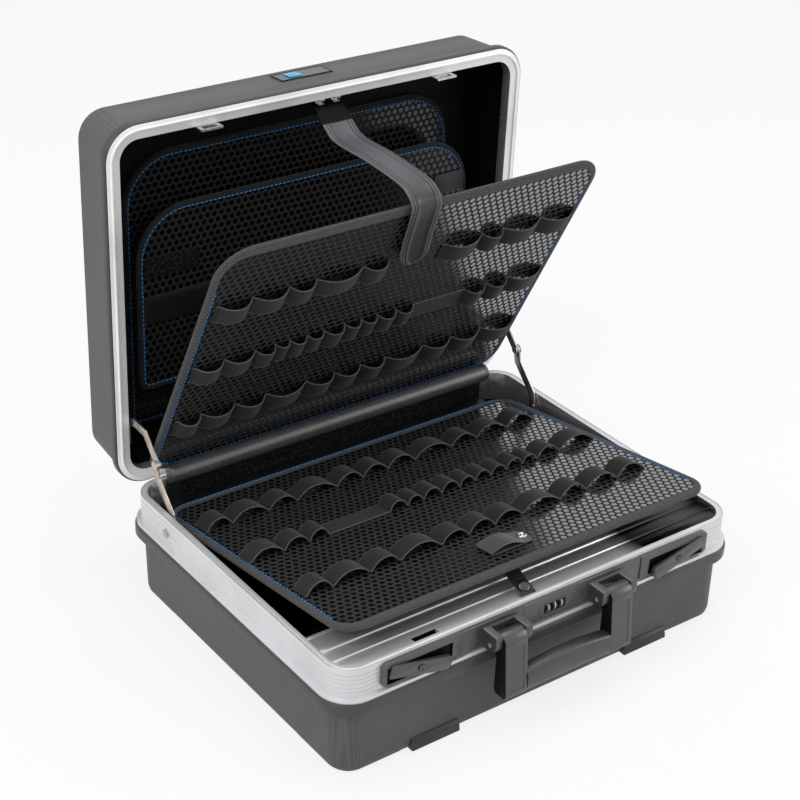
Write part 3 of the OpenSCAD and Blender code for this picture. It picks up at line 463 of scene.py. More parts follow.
def thickened(bm, faces, depth):
    """gives faces a thickness, down from where they are"""
    below = bmesh.ops.extrude_face_region(bm, geom=faces, use_keep_orig=True)["geom"]
    bmesh.ops.translate(bm, verts=[g for g in below if isinstance(g, bmesh.types.BMVert)],
                        vec=(0, 0, -depth))


def panelled(bm, face, rim, lip, depth):
    """sinks a panel into a face: a flat rim, then a lip that slopes down to it, in mm"""
    for width, sunk in ((rim, 0), (lip, -depth)):
        bmesh.ops.inset_region(bm, faces=[face], thickness=width * MM, depth=sunk * MM,
                               use_even_offset=True, use_boundary=True)


def merged(node):
    """copy of a CAD node's mesh with its flat faces made whole"""
    bm = bmesh.new()
    bm.from_mesh(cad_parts[node].data)
    bmesh.ops.remove_doubles(bm, verts=bm.verts, dist=WELD)
    bmesh.ops.dissolve_limit(bm, angle_limit=math.radians(FLAT), verts=bm.verts, edges=bm.edges)
    return bm


def softened(node, name, mat, body, slot, width, segments=2, angle=28, second=None):
    """copy of a CAD node with its edges broken; second(centre, normal) picks the faces that
    take the second material"""
    bm = merged(node)
    round_edges(bm, sharp_edges(bm, angle), width * MM, segments)
    for face in bm.faces if second else []:
        face.material_index = int(second(face.calc_center_median() / MM, face.normal))
    kept(bm, name, mat, body, slot, [node], 40)


# ---------------------------------------------------------------- boards


def taped_board(name, place_at, w, l, r, thick, width, side, mats, body, nodes, far=None):
    """a board and the tape folded round its edge, the board a little below the tape's faces;
    mats and nodes are for the board, then for the tape"""
    bm = bmesh.new()
    face = rounded_face(bm, w - 4, l - 4, r - 2, -BOARD_LIP, far=far and far - 2)
    bmesh.ops.translate(bm, verts=bm.verts, vec=(0, 2, 0))
    thickened(bm, [face], thick - 2 * BOARD_LIP)
    uv_mm(bm, lambda co: (co.x, co.y))
    put(bm, place_at)
    grown(bm, name + "_panel", mats[0], body, "board_web", nodes[:1])

    bm = bmesh.new()
    face = rounded_face(bm, w, l, r, far=far)
    bmesh.ops.inset_region(bm, faces=[face], thickness=width, depth=0, use_even_offset=True,
                           use_boundary=True)
    inner = max(bm.faces, key=lambda f: f.calc_area())
    for v in inner.verts:
        v.co.x *= (w / 2 - side) / (w / 2 - width)
    bmesh.ops.delete(bm, geom=[inner], context="FACES")
    thickened(bm, bm.faces[:], thick)
    bmesh.ops.recalc_face_normals(bm, faces=bm.faces)

    def outer(e):
        return all(abs(v.co.x) > w / 2 - width * 0.5 or v.co.y < width * 0.5
                   or v.co.y > l - width * 0.5 or corner(v.co) for v in e.verts)

    def corner(co):
        turn_r = far if far and co.y > l / 2 else r
        x, y = abs(co.x) - (w / 2 - turn_r), abs(co.y - l / 2) - (l / 2 - turn_r)
        return x > 0 and y > 0 and math.hypot(x, y) > turn_r - width * 0.5

    round_edges(bm, [e for e in sharp_edges(bm, 60) if outer(e)], thick * 0.44, 4)
    round_edges(bm, sharp_edges(bm, 60), 0.3, 2)
    put(bm, place_at)
    grown(bm, name + "_tape", mats[1], body, "binding", nodes[1:], 50)


def rounded_path(w, l, r, inset, side=None, far=None):
    """points round a board, inset from its ends and, by side, from its sides, in mm"""
    bm = bmesh.new()
    face = rounded_face(bm, w - 2 * inset, l - 2 * inset, max(r - inset, 1), 0, 14,
                        far and far - inset)
    wider = (w / 2 - (side or inset)) / (w / 2 - inset)
    points = [Vector((v.co.x * wider, v.co.y + inset)) for v in face.verts]
    bm.free()
    return points


def walk(points, pitch=STITCH_PITCH):
    """(place, direction) every pitch along a closed run of points"""
    out, left = [], pitch / 2
    for a, b in zip(points, points[1:] + points[:1]):
        run = (b - a).length
        while left < run:
            out.append((a + (b - a) * (left / run), (b - a).normalized()))
            left += pitch
        left -= run
    return out


def beads(places):
    """one small lengthwise bead at each place"""
    bm = bmesh.new()
    mesh = bpy.data.meshes.new("bead")
    for m in places:
        one = bmesh.new()
        bmesh.ops.create_uvsphere(one, u_segments=6, v_segments=4, radius=1,
                                  matrix=m @ turn(90, "Y"))
        one.to_mesh(mesh)
        one.free()
        bm.from_mesh(mesh)
    bpy.data.meshes.remove(mesh)
    return bm


def stitches(name, place_at, spots, n, mat, body, slot, length=STITCH_L, width=STITCH_D,
             height=0.9):
    """row of short thread bodies; each spot is ((x, y), direction)"""
    bm = beads([Matrix.Translation((spot.x, spot.y, spot.z if len(spot) == 3 else n))
                @ Matrix.Rotation(math.atan2(way.y, way.x) + chance.uniform(-0.05, 0.05), 4, "Z")
                @ Matrix.Diagonal((length / 2, width / 2, height / 2, 1))
                for spot, way in spots])
    put(bm, place_at)
    grown(bm, name, mat, body, slot, smooth=80)


def runs(points):
    """how far along its line each point is"""
    out = [0.0]
    for a, b in zip(points, points[1:]):
        out.append(out[-1] + math.dist(a, b))
    return out


def draped(columns, rows, place, uv):
    """grid with its vertices at place(i, j) and a UV map of uv(i, j)"""
    bm = bmesh.new()
    bmesh.ops.create_grid(bm, x_segments=columns - 1, y_segments=rows - 1, size=1)
    layer = bm.loops.layers.uv.verify()
    spot = {v: (round((v.co.x + 1) / 2 * (columns - 1)), round((v.co.y + 1) / 2 * (rows - 1)))
            for v in bm.verts}
    for face in bm.faces:
        for loop in face.loops:
            loop[layer].uv = uv(*spot[loop.vert])
    for v, (i, j) in spot.items():
        v.co = place(i, j)
    return bm


def ribbon(path, across):
    """grid swept along a path of (point, side direction, up direction, width share); across
    gives its cross-section as (offset, lift) pairs"""
    run = runs([entry[0] for entry in path])

    def place(i, j):
        point, side, up, squeeze = path[j]
        return point + side * (across[i][0] * squeeze) + up * across[i][1]

    return draped(len(across), len(path), place, lambda i, j: (run[j], across[i][0]))


def swept_frame(points, side, squeeze=None):
    """path entries with an up direction square to the run"""
    out = []
    for i, p in enumerate(points):
        a, b = points[max(i - 1, 0)], points[min(i + 1, len(points) - 1)]
        way = (b - a).normalized()
        out.append((p, side, side.cross(way).normalized(), squeeze[i] if squeeze else 1.0))
    return out


def mirrored(half):
    """whole cross-section from its left half, which ends in the middle"""
    return half + [(-a, b) for a, b in reversed(half[:-1])]


def smooth_line(points, steps):
    """Catmull-Rom line through points"""
    p = [points[0] * 2 - points[1]] + points + [points[-1] * 2 - points[-2]]
    out = []
    for i in range(1, len(p) - 2):
        for k in range(steps):
            t = k / steps
            out.append(0.5 * ((2 * p[i]) + (p[i + 1] - p[i - 1]) * t
                              + (2 * p[i - 1] - 5 * p[i] + 4 * p[i + 1] - p[i + 2]) * t * t
                              + (3 * p[i] - p[i - 1] - 3 * p[i + 1] + p[i + 2]) * t ** 3))
    return out + [points[-1]]


def arch_points(a, b, high, skew):
    """one loop from stitch line a to b, as (x, height) of the band's middle"""
    s = b - a
    rise = min(high, 0.45 * s)
    radius = (s * s / 4 + rise * rise) / (2 * rise)
    half = math.asin(min(1, s / 2 / radius)) if rise < s / 2 else math.pi / 2
    out = []
    steps = 12
    for k in range(steps + 1):
        t = -half + 2 * half * k / steps
        x = (a + b) / 2 + (radius - LOOP_T / 2) * math.sin(t)
        z = (radius - LOOP_T / 2) * math.cos(t) - (radius - rise)
        u = (x - a) / s
        x += skew * s * math.sin(math.pi * u) ** 2
        if z > LOOP_T / 2:
            out.append((x, z))
    return out


def loop_row(name, place_at, groups, open_y, far, mat, body, replaces, taper=1.0):
    """elastic band sewn down in loops; groups are runs of stitch lines joined by flat band"""
    profile = [(groups[0][0] - 2.5, LOOP_T / 2)]
    for g, lines in enumerate(groups):
        if g:
            profile.append((lines[0] - 2.2, LOOP_T / 2))
        for a, b in zip(lines, lines[1:]):
            profile.append((a + 0.4, LOOP_T / 2 + 0.02))
            profile += arch_points(a, b, LOOP_RISE * chance.uniform(0.92, 1.0),
                                   chance.uniform(-0.05, 0.05))
            profile.append((b - 0.4, LOOP_T / 2 + 0.02))
        profile.append((lines[-1] + 2.3, LOOP_T / 2))
    run = runs(profile)

    def place(i, j):
        x, z = profile[i]
        lift = (z - LOOP_T / 2) * (1 - (1 - taper) * j / 5)
        return x, open_y + (far - open_y) * j / 5, 0.1 + LOOP_T / 2 + lift

    bm = draped(len(profile), 6, place, lambda i, j: (run[i], LOOP_W * j / 5))
    put(bm, place_at)
    grown(bm, name, mat, body, "elastic", replaces, 60,
          [walled(LOOP_T * 0.92),
           ("BEVEL", {"width": 0.22 * MM, "segments": 1, "limit_method": "ANGLE"})])


def sewn_lines(name, place_at, groups, y0, y1, body):
    """dark bar tacks that hold a band down at each stitch line"""
    spots = []
    for lines in groups:
        for x in lines:
            for k in range(6):
                y = y0 + (y1 - y0) * (k + 0.5) / 6
                spots.append((Vector((x, y, LOOP_T + 0.25)), Vector((0.25, 1))))
    stitches(name, place_at, spots, 0, DARK_THREAD, body, "elastic", 3.0, 0.7, 0.5)


# upper tool board
UB, LB = "upper_tool_board", "lower_tool_board"
taped_board("upper_board", UPPER, BOARD_W, UPPER_L, UPPER_R, BOARD_T, BINDING_W, BINDING_SIDE,
            (WEB, BINDING), UB, ["upper_board", "upper_binding"])
path = walk(rounded_path(BOARD_W, UPPER_L, UPPER_R, BINDING_W + SEAM, BINDING_SIDE + SEAM))
front_spots = [s for s in path if s[0].y < UPPER_L - 52]
stitches("upper_board_stitches", UPPER, front_spots, -0.25, BLUE_THREAD, UB, "binding")
stitches("upper_board_back_stitches", UPPER, path, -BOARD_T + 0.25, BLUE_THREAD, UB, "binding")
for label, groups, top, node in (
        ("top", [ROW_TOP_L], 267, None), ("top_right", [ROW_TOP_R], 267, "upper_loops_top"),
        ("middle", [ROW_MID_L, ROW_MID_R], 176, "upper_loops_middle"),
        ("bottom", [ROW_LOW], 90, "upper_loops_bottom")):
    loop_row("upper_elastic_" + label, UPPER, groups, top, top - LOOP_W, ELASTIC, UB,
             [node] if node else [], 0.8)
    sewn_lines("upper_tacks_" + label, UPPER, groups, top, top - LOOP_W, UB)

# lower tool board
taped_board("lower_board", LOWER, BOARD_W, LOWER_L, LOWER_R, BOARD_T, BINDING_W, BINDING_SIDE,
            (WEB, BINDING), LB, ["lower_board", "lower_binding"])
path = walk(rounded_path(BOARD_W, LOWER_L, LOWER_R, BINDING_W + SEAM, BINDING_SIDE + SEAM))
stitches("lower_board_stitches", LOWER, [s for s in path if 26 < s[0].y < LOWER_L - 20], -0.25,
         BLUE_THREAD, LB, "binding")
path = walk(rounded_path(BOARD_W, LOWER_L, LOWER_R, 4.5))
stitches("lower_board_back_seam", LOWER, [s for s in path if s[0].y > LOWER_L - 12], 0.2,
         BLUE_THREAD, LB, "binding")
for label, groups, s in (("back", [ROW_EVEN], 74), ("middle", [ROW_SMALL, ROW_SMALL_R], 159),
                         ("front", [ROW_EVEN], 249)):
    y = LOWER_L - s
    loop_row("lower_elastic_" + label, LOWER, groups, y, y + LOOP_W, ELASTIC, LB,
             ["lower_loops_" + label])
    sewn_lines("lower_tacks_" + label, LOWER, groups, y, y + LOOP_W, LB)


def spine():
    """padded roll along the foot of the upper board"""
    bm = bmesh.new()
    bmesh.ops.create_cone(bm, cap_ends=True, segments=40, radius1=SPINE_R, radius2=SPINE_R,
                          depth=SPINE_L, matrix=turn(90, "Y"))
    cut = [e for e in bm.edges if abs(e.verts[0].co.x - e.verts[1].co.x) > 100]
    bmesh.ops.subdivide_edges(bm, edges=cut, cuts=60)
    for v in bm.verts:
        wave = 0.16 * math.sin(v.co.x / 17) + 0.1 * math.sin(v.co.x / 6.1 + v.co.y)
        pull = 1 - 0.08 * max(0, abs(v.co.x) - 196) / 9
        v.co.y *= pull * (1 - 0.012 * abs(wave))
        v.co.z = v.co.z * pull * (1 - 0.02 * abs(wave))
    round_edges(bm, [e for e in bm.edges if e.is_manifold and e.calc_face_angle(0) > 1.2], 2.2, 3)
    bmesh.ops.translate(bm, verts=bm.verts, vec=(0, 9.1, SPINE_R + 0.3))
    put(bm, UPPER)
    roll = grown(bm, "spine_roll_cover", ROLL_LEATHER, UB, "leatherette", ["spine_roll"], 60)


spine()

# hook-and-loop strip on the back wall, its leather backing and the flap under the lower board
y1 = BACK - 7.6
for name, mat, box, edge, nodes in (
        ("hinge_backing", BLACK_LEATHER, (-205, 205, y1 - 2.2, y1, 88.2, 114.4), 0.8,
         ["fabric_hinge"]),
        ("hinge_flap", BLACK_LEATHER, (-205, 205, 125.0, y1, 90.0, 92.7), 1.0, []),
        ("hinge_top_bead", BLACK_LEATHER, (-204, 204, 146.4, 152.6, 112.4, 118.4), 2.6, []),
        ("hook_strip", TAPE, (-187, 203, y1 - 3.5, y1 - 2.0, 93.6, 110.8), 0.7, [])):
    bm = bmesh.new()
    bmesh.ops.create_cube(bm, size=1)
    bmesh.ops.scale(bm, verts=bm.verts, vec=[box[1] - box[0], box[3] - box[2], box[5] - box[4]])
    bmesh.ops.translate(bm, verts=bm.verts, vec=[(box[0] + box[1]) / 2, (box[2] + box[3]) / 2,
                                                 (box[4] + box[5]) / 2])
    long = [e for e in bm.edges if abs(e.verts[0].co.x - e.verts[1].co.x) > 100]
    bmesh.ops.subdivide_edges(bm, edges=long, cuts=80)
    for v in bm.verts:
        v.co.z += 0.25 * math.sin(v.co.x / 13)
        v.co.y += 0.12 * math.sin(v.co.x / 7.7)
    round_edges(bm, sharp_edges(bm, 60), edge, 3)
    put(bm)
    grown(bm, name, mat, "base", "hook_tape", nodes, 50)


def fold_with_upper(piece):
    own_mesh(piece)


def fold_with_lower(piece):
    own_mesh(piece)


# strap that holds the upper board to the lid's hooks
strap_line = [Vector(p) for p in (
    (1, 184, 474.0), (1, 176, 473.8), (0.8, 168, 470.2), (0.5, 152, 458.5), (-0.5, 132, 451.0),
    (-1.5, 80, 450.2), (-3, 28, 446.5), (-4.5, 10, 441.5), (-4.6, 2.2, 432.0),
    (-3.6, 5.6, 418), (0, 18.5, 391), (4, 29, 367), (5.6, 33.8, 356))]
strap_points = smooth_line(strap_line, 8)
along, squeeze = runs(strap_points), []
for gone in along:
    left = along[-1] - gone
    tip = 1.0 if left > HALF_STRAP else math.sqrt(max(0.0, 1 - (1 - left / HALF_STRAP) ** 2))
    squeeze.append(max(0.06, tip) * (0.86 + 0.14 * min(1, gone / 30)))
strap_path = swept_frame(strap_points, Vector((1, 0, 0)), squeeze)
bm = ribbon(strap_path, mirrored([
    (-HALF_STRAP, -0.5), (-16.6, 0.35), (-15.6, 0.5), (-14.6, 0.35), (-14, -0.1), (-13.2, 0.4),
    (-11.8, 0.45), (-10.8, 0.0), (-9.6, 0.55), (-5, 0.8), (0, 0.85)]))
put(bm)
for face in bm.faces:
    c = face.calc_center_median() / MM
    face.material_index = int(c.z > 463 or c.y > 157)    # black by the lid's hooks
fold_with_upper(grown(bm, "board_strap_leather", [STRAP_LEATHER, BLACK_AND_PAINTED_SHADE], UB, "leatherette",
                      ["board_strap"], 70, [walled(1.6)]))
sewn = []
for offset in (-14.0, -10.6, 10.6, 14.0):
    gone = 0.0
    for (a, s, u, q), (b, _, _, _) in zip(strap_path, strap_path[1:]):
        run = (b - a).length
        while gone < run:
            m = Matrix(((b - a).normalized(), s, u)).transposed().to_4x4()
            m.translation = a + (b - a) * (gone / run) + s * (offset * q) + u * 0.95
            if q > 0.5:
                sewn.append(m @ Matrix.Diagonal((1.1, 0.4, 0.3, 1)))
            gone += 3.0
        gone -= run
bm = beads(sewn)
put(bm)
fold_with_upper(grown(bm, "board_strap_thread", DARK_THREAD, UB, "leatherette", [], 80))

# strap that props the lower board on the front rim, with its snap
points = [Vector((0, y, 0.5 - 1.4 * math.sin(math.pi * y / PROP_L))) for y in
          [PROP_L * k / 24 for k in range(25)]]
bm = ribbon(swept_frame(points, Vector((1, 0, 0))), mirrored(
    [(-8.2, -0.3), (-7.8, 0.2), (-6.8, 0.3), (-6.2, 0.0), (-5.4, 0.3), (0, 0.4)]))
put(bm, STRAP)
fold_with_lower(grown(bm, "retaining_strap_leather", BLACK_LEATHER, "base", "leatherette",
                      ["retaining_strap"], 70, [walled(1.0)]))


# outlines of a plain cap and of a ringed stud, as shares of their radius and height
CAP_PROFILE = [(1, 0), (1, 0.35), (0.96, 0.62), (0.84, 0.86), (0.6, 0.97), (0.3, 1), (0.002, 1)]
RING_PROFILE = [(1, 0), (1, 0.45), (0.93, 0.8), (0.78, 1), (0.62, 0.9), (0.55, 0.55),
                (0.4, 0.5), (0.28, 0.8), (0.002, 0.86)]


def snap(name, place_at, radius, height, outline, mats, body, slot, replaces):
    """press stud turned from an outline of (radius, height) shares"""
    bm = bmesh.new()
    profile = [(r * radius, h * height) for r, h in outline]
    verts = [bm.verts.new((r, 0, z)) for r, z in profile]
    edges = [bm.edges.new(pair) for pair in zip(verts, verts[1:])]
    bmesh.ops.spin(bm, geom=verts + edges, cent=(0, 0, 0), axis=(0, 0, 1), angle=math.tau,
                   steps=40, use_merge=True)
    bmesh.ops.remove_doubles(bm, verts=bm.verts, dist=0.012)
    bmesh.ops.holes_fill(bm, edges=bm.edges, sides=60)
    put(bm, place_at)
    return grown(bm, name, mats, body, slot, replaces, 60)


fold_with_lower(snap("retaining_snap_cap", STRAP @ at(0, 10, 1.0), 6.2, 1.7, CAP_PROFILE, CAP,
                     "base", "black_plastic", ["retaining_snap"]))

# pull tab: folded leather loop with a ring snap
tab_path = [(14.6, 1.0), (8, 0.95), (0, 0.9), (-12, 0.9), (-26, 0.9), (-34, 1.0), (-36.6, 1.7),
            (-37.4, 3.0), (-36.2, 4.4), (-32, 5.9), (-26, 7.3), (-18, 8.0), (-9, 6.8), (-2, 4.2),
            (2, 2.9), (8.4, 2.45), (14.4, 2.3)]
tab_points = smooth_line([Vector((x, 0, z)) for x, z in tab_path], 4)
tab_q = []
for i, p in enumerate(tab_points):
    end = 14.6 - p.x
    tab_q.append(1.0 if end > 9 else max(0.45, math.sqrt(max(0, 1 - ((9 - end) / 10.5) ** 2))))
bm = ribbon(swept_frame(tab_points, Vector((0, 1, 0)), tab_q), mirrored(
    [(-12, -0.1), (-11.5, 0.2), (-10.3, 0.25), (-9.6, 0.05), (-8.6, 0.2), (0, 0.25)]))
put(bm, LOWER @ at(0, TAB_Y, 0))
grown(bm, "pull_tab_leather", GREY_LEATHER, LB, "leatherette", ["pull_tab"], 70,
      [walled(1.15)])
snap("pull_tab_stud", LOWER @ at(8.4, TAB_Y, 2.9), 5.0, 1.7, RING_PROFILE, ZINC, LB,
     "zinc_steel", ["pull_tab_snap"])

# lid boards
for name, where, w, l, thick, node in (
        ("rear_board", REAR, 402, 300, 7.2, "lid_rear_board"),
        ("pocket_board", POCKET, 410, 197, 4.0, "lid_pocket_board")):
    taped_board(name, where, w, l, LID_BOARD_R, thick, LID_TAPE_W, LID_TAPE_W,
                (WEB_DARK, BINDING_DARK), "lid", [node], LID_BOARD_FOOT_R)
    path = walk(rounded_path(w, l, LID_BOARD_R, LID_TAPE_W - 1.1, far=LID_BOARD_FOOT_R))
    stitches(name + "_stitches", where, path, 0.15, BLUE_THREAD, "lid", "binding")


def soft_panel(name, place_at, x0, x1, ya, yb, n0, n1, r, mat, body, slot):
    """flat patch sewn on a board, n0 to n1 above its face"""
    bm = bmesh.new()
    face = rounded_face(bm, x1 - x0, yb - ya, r, n1, 6)
    bmesh.ops.translate(bm, verts=bm.verts, vec=((x0 + x1) / 2, ya, 0))
    thickened(bm, [face], n1 - n0)
    bmesh.ops.recalc_face_normals(bm, faces=bm.faces)
    round_edges(bm, sharp_edges(bm, 60), (n1 - n0) * 0.4, 2)
    uv_mm(bm, lambda co: (co.x, co.y))
    put(bm, place_at)
    grown(bm, name, mat, body, slot, [], 50)


# REAR and POCKET look at the viewer with x turned round
soft_panel("pocket_front", POCKET, -198.2, 198.2, 95, 123, 0.05, 0.95, 1.2, BLACK_LEATHER, "lid",
           "leatherette")
soft_panel("pocket_top_tape", POCKET, -198.4, 198.4, 92.5, 96.5, 0.05, 1.15, 1.2, BINDING_DARK,
           "lid", "binding")
soft_panel("pocket_hook_patch", POCKET, 136, 197, 53, 72, 0.05, 1.0, 2, TAPE, "lid", "hook_tape")
soft_panel("pocket_corner_patch", POCKET, -200, -159, 39, 62, 0.05, 1.0, 4, BLACK_LEATHER, "lid",
           "leatherette")

# pleated gusset between the lid's boards, round three sides of the pocket
half = [(GUSSET_HALF, 221), (GUSSET_HALF, 150), (GUSSET_HALF, 100), (GUSSET_HALF - 4, 91),
        (GUSSET_HALF - 14, 90)]
line = smooth_line([Vector((x, HINGE_Y - far, 0)) for x, far in
                    [(-x, far) for x, far in half] + [(0, 90)] + half[::-1]], 6)
z0, z1 = HINGE_Z + 37.8, RING_Z + LID_FLOOR - 7.7
profile = [(z0 + (z1 - z0) * k / 8, 0.75 * (1 if k % 2 else -1)) for k in range(9)]
bm = ribbon(swept_frame(line, Vector((0, 0, 1))), profile)
put(bm, LID)
grown(bm, "pocket_gusset", BLACK_LEATHER, "lid", "leatherette", ["lid_pocket"], 70,
      [walled(0.8)])

# ---------------------------------------------------------------- hard parts


def within(point, box):
    """whether a point is inside a box of (low, high) limits"""
    return all(a < v < b for v, (a, b) in zip(point, box))


def shell_finish(centre, box, axis, bead):
    """painted black as shade on the faces inside a box, smooth along the bead, else hatched"""
    def pick(c, n):
        if n.dot(Vector(centre) - c) > 0 and within(c, box):
            return 1
        return 2 if bead[0] < c[axis] < bead[1] else 0
    return pick


# the shells' insides are painted black as shade
softened("base_shell", "base_shell_moulding", [SHELL, BLACK_AND_PAINTED_SHADE, BEAD], "base", "shell_abs", 0.9, 3,
         20, shell_finish((0, MID_Y, 60), ((-236, 236), (-206.5, 156.5), (7, 200)), 2,
                          (70.2, 85)))
softened("lid_shell", "lid_shell_moulding", [SHELL, BLACK_AND_PAINTED_SHADE, BEAD], "lid", "shell_abs", 0.9, 3, 20,
         shell_finish((0, 200, 300), ((-241, 241), (0, 239), (115, 487.5)), 1, (169, 183.2)))
softened("base_frame", "base_rail", [BASE_RAIL, RAIL_INSIDE], "base", "frame_aluminium", 0.45,
         second=lambda c, n: abs(n.z) < 0.5 and n.dot(Vector((0, MID_Y, c.z)) - c) > 0)
softened("lid_frame", "lid_rail", [LID_RAIL, RAIL_INSIDE], "lid", "frame_aluminium", 0.35,
         second=lambda c, n: abs(n.y) < 0.5 and n.dot(Vector((0, c.y, 300)) - c) > 0)
for side, sign in (("left", -1), ("right", 1)):
    # the lock recess's faces take the black: painted shade in the recess
    softened(side + "_lock_housing", side + "_lock_body", [LOCK_NYLON, BLACK_AND_PAINTED_SHADE], "base",
             "lock_plastic", 0.5,
             second=lambda c, n, k=sign: within((c.x * k, c.y, c.z), LOCK_RECESS))
    # the brackets' sideways faces take the darker nylon: painted shade
    softened(side + "_handle_bracket", side + "_bracket", [NYLON, FOOT_AND_SIDE_SHADE], "base", "black_plastic",
             0.6, second=lambda c, n: abs(n.x) > 0.9)
# the ledge's striker slots take the black: painted shade inside them
softened("front_inner_profile", "inner_ledge", [LEDGE, BLACK_AND_PAINTED_SHADE], "base", "profile_aluminium", 0.25,
         second=lambda c, n: abs(n.z) < 0.5 and 126 < abs(c.x) < 154 and c.y < -195)
for node, name, mat, body, slot, width in (
        ("left_lock_lever", "left_lever", NYLON, "left_lever", "lock_plastic", 0.45),
        ("right_lock_lever", "right_lever", NYLON, "right_lever", "lock_plastic", 0.45),
        ("combination_plate", "dial_plate", LOCK_NYLON, "base", "lock_plastic", 0.35),
        ("base_feet", "feet", FOOT_AND_SIDE_SHADE, "base", "black_plastic", 0.7),
        ("badge_tile", "badge_panel", BADGE_BLUE, "lid", "badge_blue", 0.2),
        ("base_dividers", "dividers", BLACK_AND_PAINTED_SHADE, "base", "black_plastic", 0.6)):
    softened(node, name, mat, body, slot, width)
for level in ("lower", "upper"):
    for side in ("left", "right"):
        softened(f"{side}_{level}_stay", f"stay_{side}_{level}", NICKEL, f"{side}_{level}_arm",
                 "stay_nickel", 0.3)

# handle arms: shallow panel in the front face, sides painted black as shade
for side in ("left", "right"):
    bm = merged("handle_" + side + "_arm")
    for face in bm.faces:
        face.material_index = int(abs(face.normal.x) > 0.8)
    round_edges(bm, sharp_edges(bm, 28), 0.8 * MM, 2)
    front = max((f for f in bm.faces if f.normal.y < -0.9), key=lambda f: f.calc_area())
    panelled(bm, front, 2.6, 0.7, 0.9)
    kept(bm, "handle_arm_" + side, [NYLON, BLACK_AND_PAINTED_SHADE], "handle", "black_plastic",
         ["handle_" + side + "_arm"], 30)

# grip: soft-cornered bar that is arched along its top
bm = bmesh.new()
bmesh.ops.create_grid(bm, x_segments=40, y_segments=24, size=1)
for v in bm.verts:
    x, turned = v.co.x * GRIP_HALF, math.pi * (v.co.y + 1)
    high = GRIP_Z + GRIP_H + GRIP_ARCH * (1 - (x / GRIP_HALF) ** 2)
    c, d = math.cos(turned), -math.sin(turned)
    wide, tall = abs(c) ** 0.55 * (1 if c > 0 else -1), abs(d) ** 0.5 * (1 if d > 0 else -1)
    v.co = (x, GRIP_Y + GRIP_T / 2 * (1 + wide), (GRIP_Z + high) / 2 + (high - GRIP_Z) / 2 * tall)
bmesh.ops.remove_doubles(bm, verts=bm.verts, dist=0.01)
bmesh.ops.holes_fill(bm, edges=bm.edges, sides=60)
put(bm)
grown(bm, "handle_grip_cover", GRIP, "handle", "black_plastic", ["handle_grip"], 50)

# badge plate with a rim round its panel
bm = merged("badge_plate")
face = max(bm.faces, key=lambda f: f.normal.z)
panelled(bm, face, 1.3, 0.5, 0.45)
face.material_index = 1
kept(bm, "badge_base", [DIAL, BADGE_PANEL], "lid", "black_plastic", ["badge_plate"], 30)

# CAD nodes that stay as they are
for mat, nodes in ((ZINC, ("wall_screws", "handle_pins", "dial_axle", "lid_strikers",
                           "strap_hooks")),
                   (NICKEL, ("stay_base_rivets", "lid_stay_brackets", "lid_stay_rivets",
                             "left_elbow_rivet", "right_elbow_rivet")),
                   # painted shade: the hinge is made black so it sinks into the dark behind the
                   # roll
                   (SHADE_BLACK_STEEL, ("hinge_base_leaves", "hinge_pins", "hinge_lid_leaves")),
                   (BURNISHED, ("lock_pivots",)),
                   (DIAL, ("dial_left", "dial_middle", "dial_right"))):
    for node in nodes:
        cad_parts[node].data.materials.clear()
        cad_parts[node].data.materials.append(mat)

# figures on the dials
for k, (node, body) in enumerate((("dial_left", "first_dial"), ("dial_middle", "second_dial"),
                                  ("dial_right", "third_dial"))):
    bm = bmesh.new()
    for digit in range(10):
        curve = bpy.data.curves.new("figure", "FONT")
        curve.body = str(digit)
        curve.size, curve.extrude, curve.offset = 3.9, 0.06, 0.08
        curve.align_x, curve.align_y = "CENTER", "CENTER"
        writer = bpy.data.objects.new("figure", curve)
        mesh = bpy.data.meshes.new_from_object(writer)
        mesh.transform(at(DIAL_X + (k - 1) * DIAL_PITCH, DIAL_Y, DIAL_Z)
                       @ turn(36 * (digit - 3) + 8, "X") @ turn(90, "X")
                       @ at(0, 0, DIAL_R + 0.02) @ Matrix.Scale(MM, 4))
        bm.from_mesh(mesh)
        bpy.data.objects.remove(writer)
        bpy.data.meshes.remove(mesh)
        bpy.data.curves.remove(curve)
    kept(bm, "figures_" + node, FIGURES, body, "dial_plastic", [], 30)

# ---------------------------------------------------------------- stage


def staged(owner, lit, white, share):
    """lit for the object, and white by a share to the camera and in reflections"""
    ray = add(owner, "LightPath").node.outputs
    seen = add(owner, "Math", {0: ray["Is Camera Ray"], 1: ray["Is Glossy Ray"]},
               operation="MAXIMUM")
    part = add(owner, "Math", {0: seen, 1: share}, operation="MULTIPLY")
    return add(owner, "MixShader", {0: part, 1: lit, 2: white})


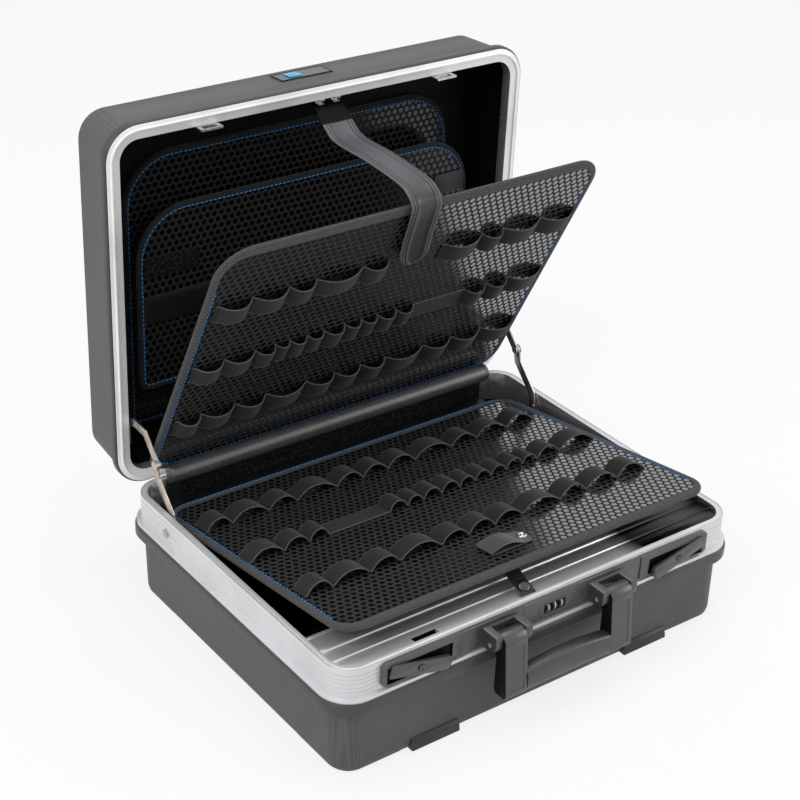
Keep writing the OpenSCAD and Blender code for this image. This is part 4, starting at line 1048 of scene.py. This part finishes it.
ground = bpy.data.materials.new("pale_floor")
ground.use_nodes = True
ground.node_tree.nodes.clear()
add(ground, "OutputMaterial", {0: staged(
    ground, add(ground, "BsdfDiffuse", {"Color": "#f4f4f4"}),
    add(ground, "Emission", {"Color": "#ffffff", "Strength": 1.0}), FLOOR_SHARE)})
bm = bmesh.new()
bmesh.ops.create_grid(bm, x_segments=2, y_segments=2, size=9)
mesh = bpy.data.meshes.new("floor")
bm.to_mesh(mesh)
bm.free()
mesh.materials.append(ground)
floor = bpy.data.objects.new("floor", mesh)
floor.location.z = -0.0002
bpy.context.scene.collection.objects.link(floor)

world = bpy.data.worlds.new("studio")
bpy.context.scene.world = world
world.use_nodes = True
world.node_tree.nodes.clear()
add(world, "OutputWorld", {0: staged(
    world, add(world, "Background", {0: "#ffffff", 1: WORLD_LIGHT}),
    add(world, "Background", {0: "#ffffff", 1: 1.0}), 1.0)})


def lamp(name, where, target, size, power):
    data = bpy.data.lights.new(name, "AREA")
    data.shape, data.size, data.energy = "SQUARE", size, power
    obj = bpy.data.objects.new(name, data)
    obj.location = where
    obj.rotation_euler = (Vector(target) - Vector(where)).to_track_quat("-Z", "Y").to_euler()
    bpy.context.scene.collection.objects.link(obj)


lamp("key_light", (-2.1, -0.7, 2.3), (0, 0, 0.2), 1.6, 36)
lamp("fill_light", (2.6, -1.5, 1.2), (0, 0, 0.15), 1.6, 24)
lamp("top_light", (0.3, 0.4, 2.8), (0, 0, 0.2), 1.8, 20)

camera = bpy.data.cameras.new("camera")
camera.sensor_width = 36
camera.lens = 80.985
camera.shift_x, camera.shift_y = 0.0665, 0.0041
camera_object = bpy.data.objects.new("camera", camera)
camera_object.matrix_world = Matrix((
    (0.817133, 0.263647, -0.512624, -0.97311), (-0.575771, 0.416395, -0.703636, -1.21069),
    (0.027943, 0.870118, 0.492050, 1.09235), (0, 0, 0, 1)))
bpy.context.scene.collection.objects.link(camera_object)
bpy.context.scene.camera = camera_object
bpy.context.scene.view_settings.view_transform = "Standard"
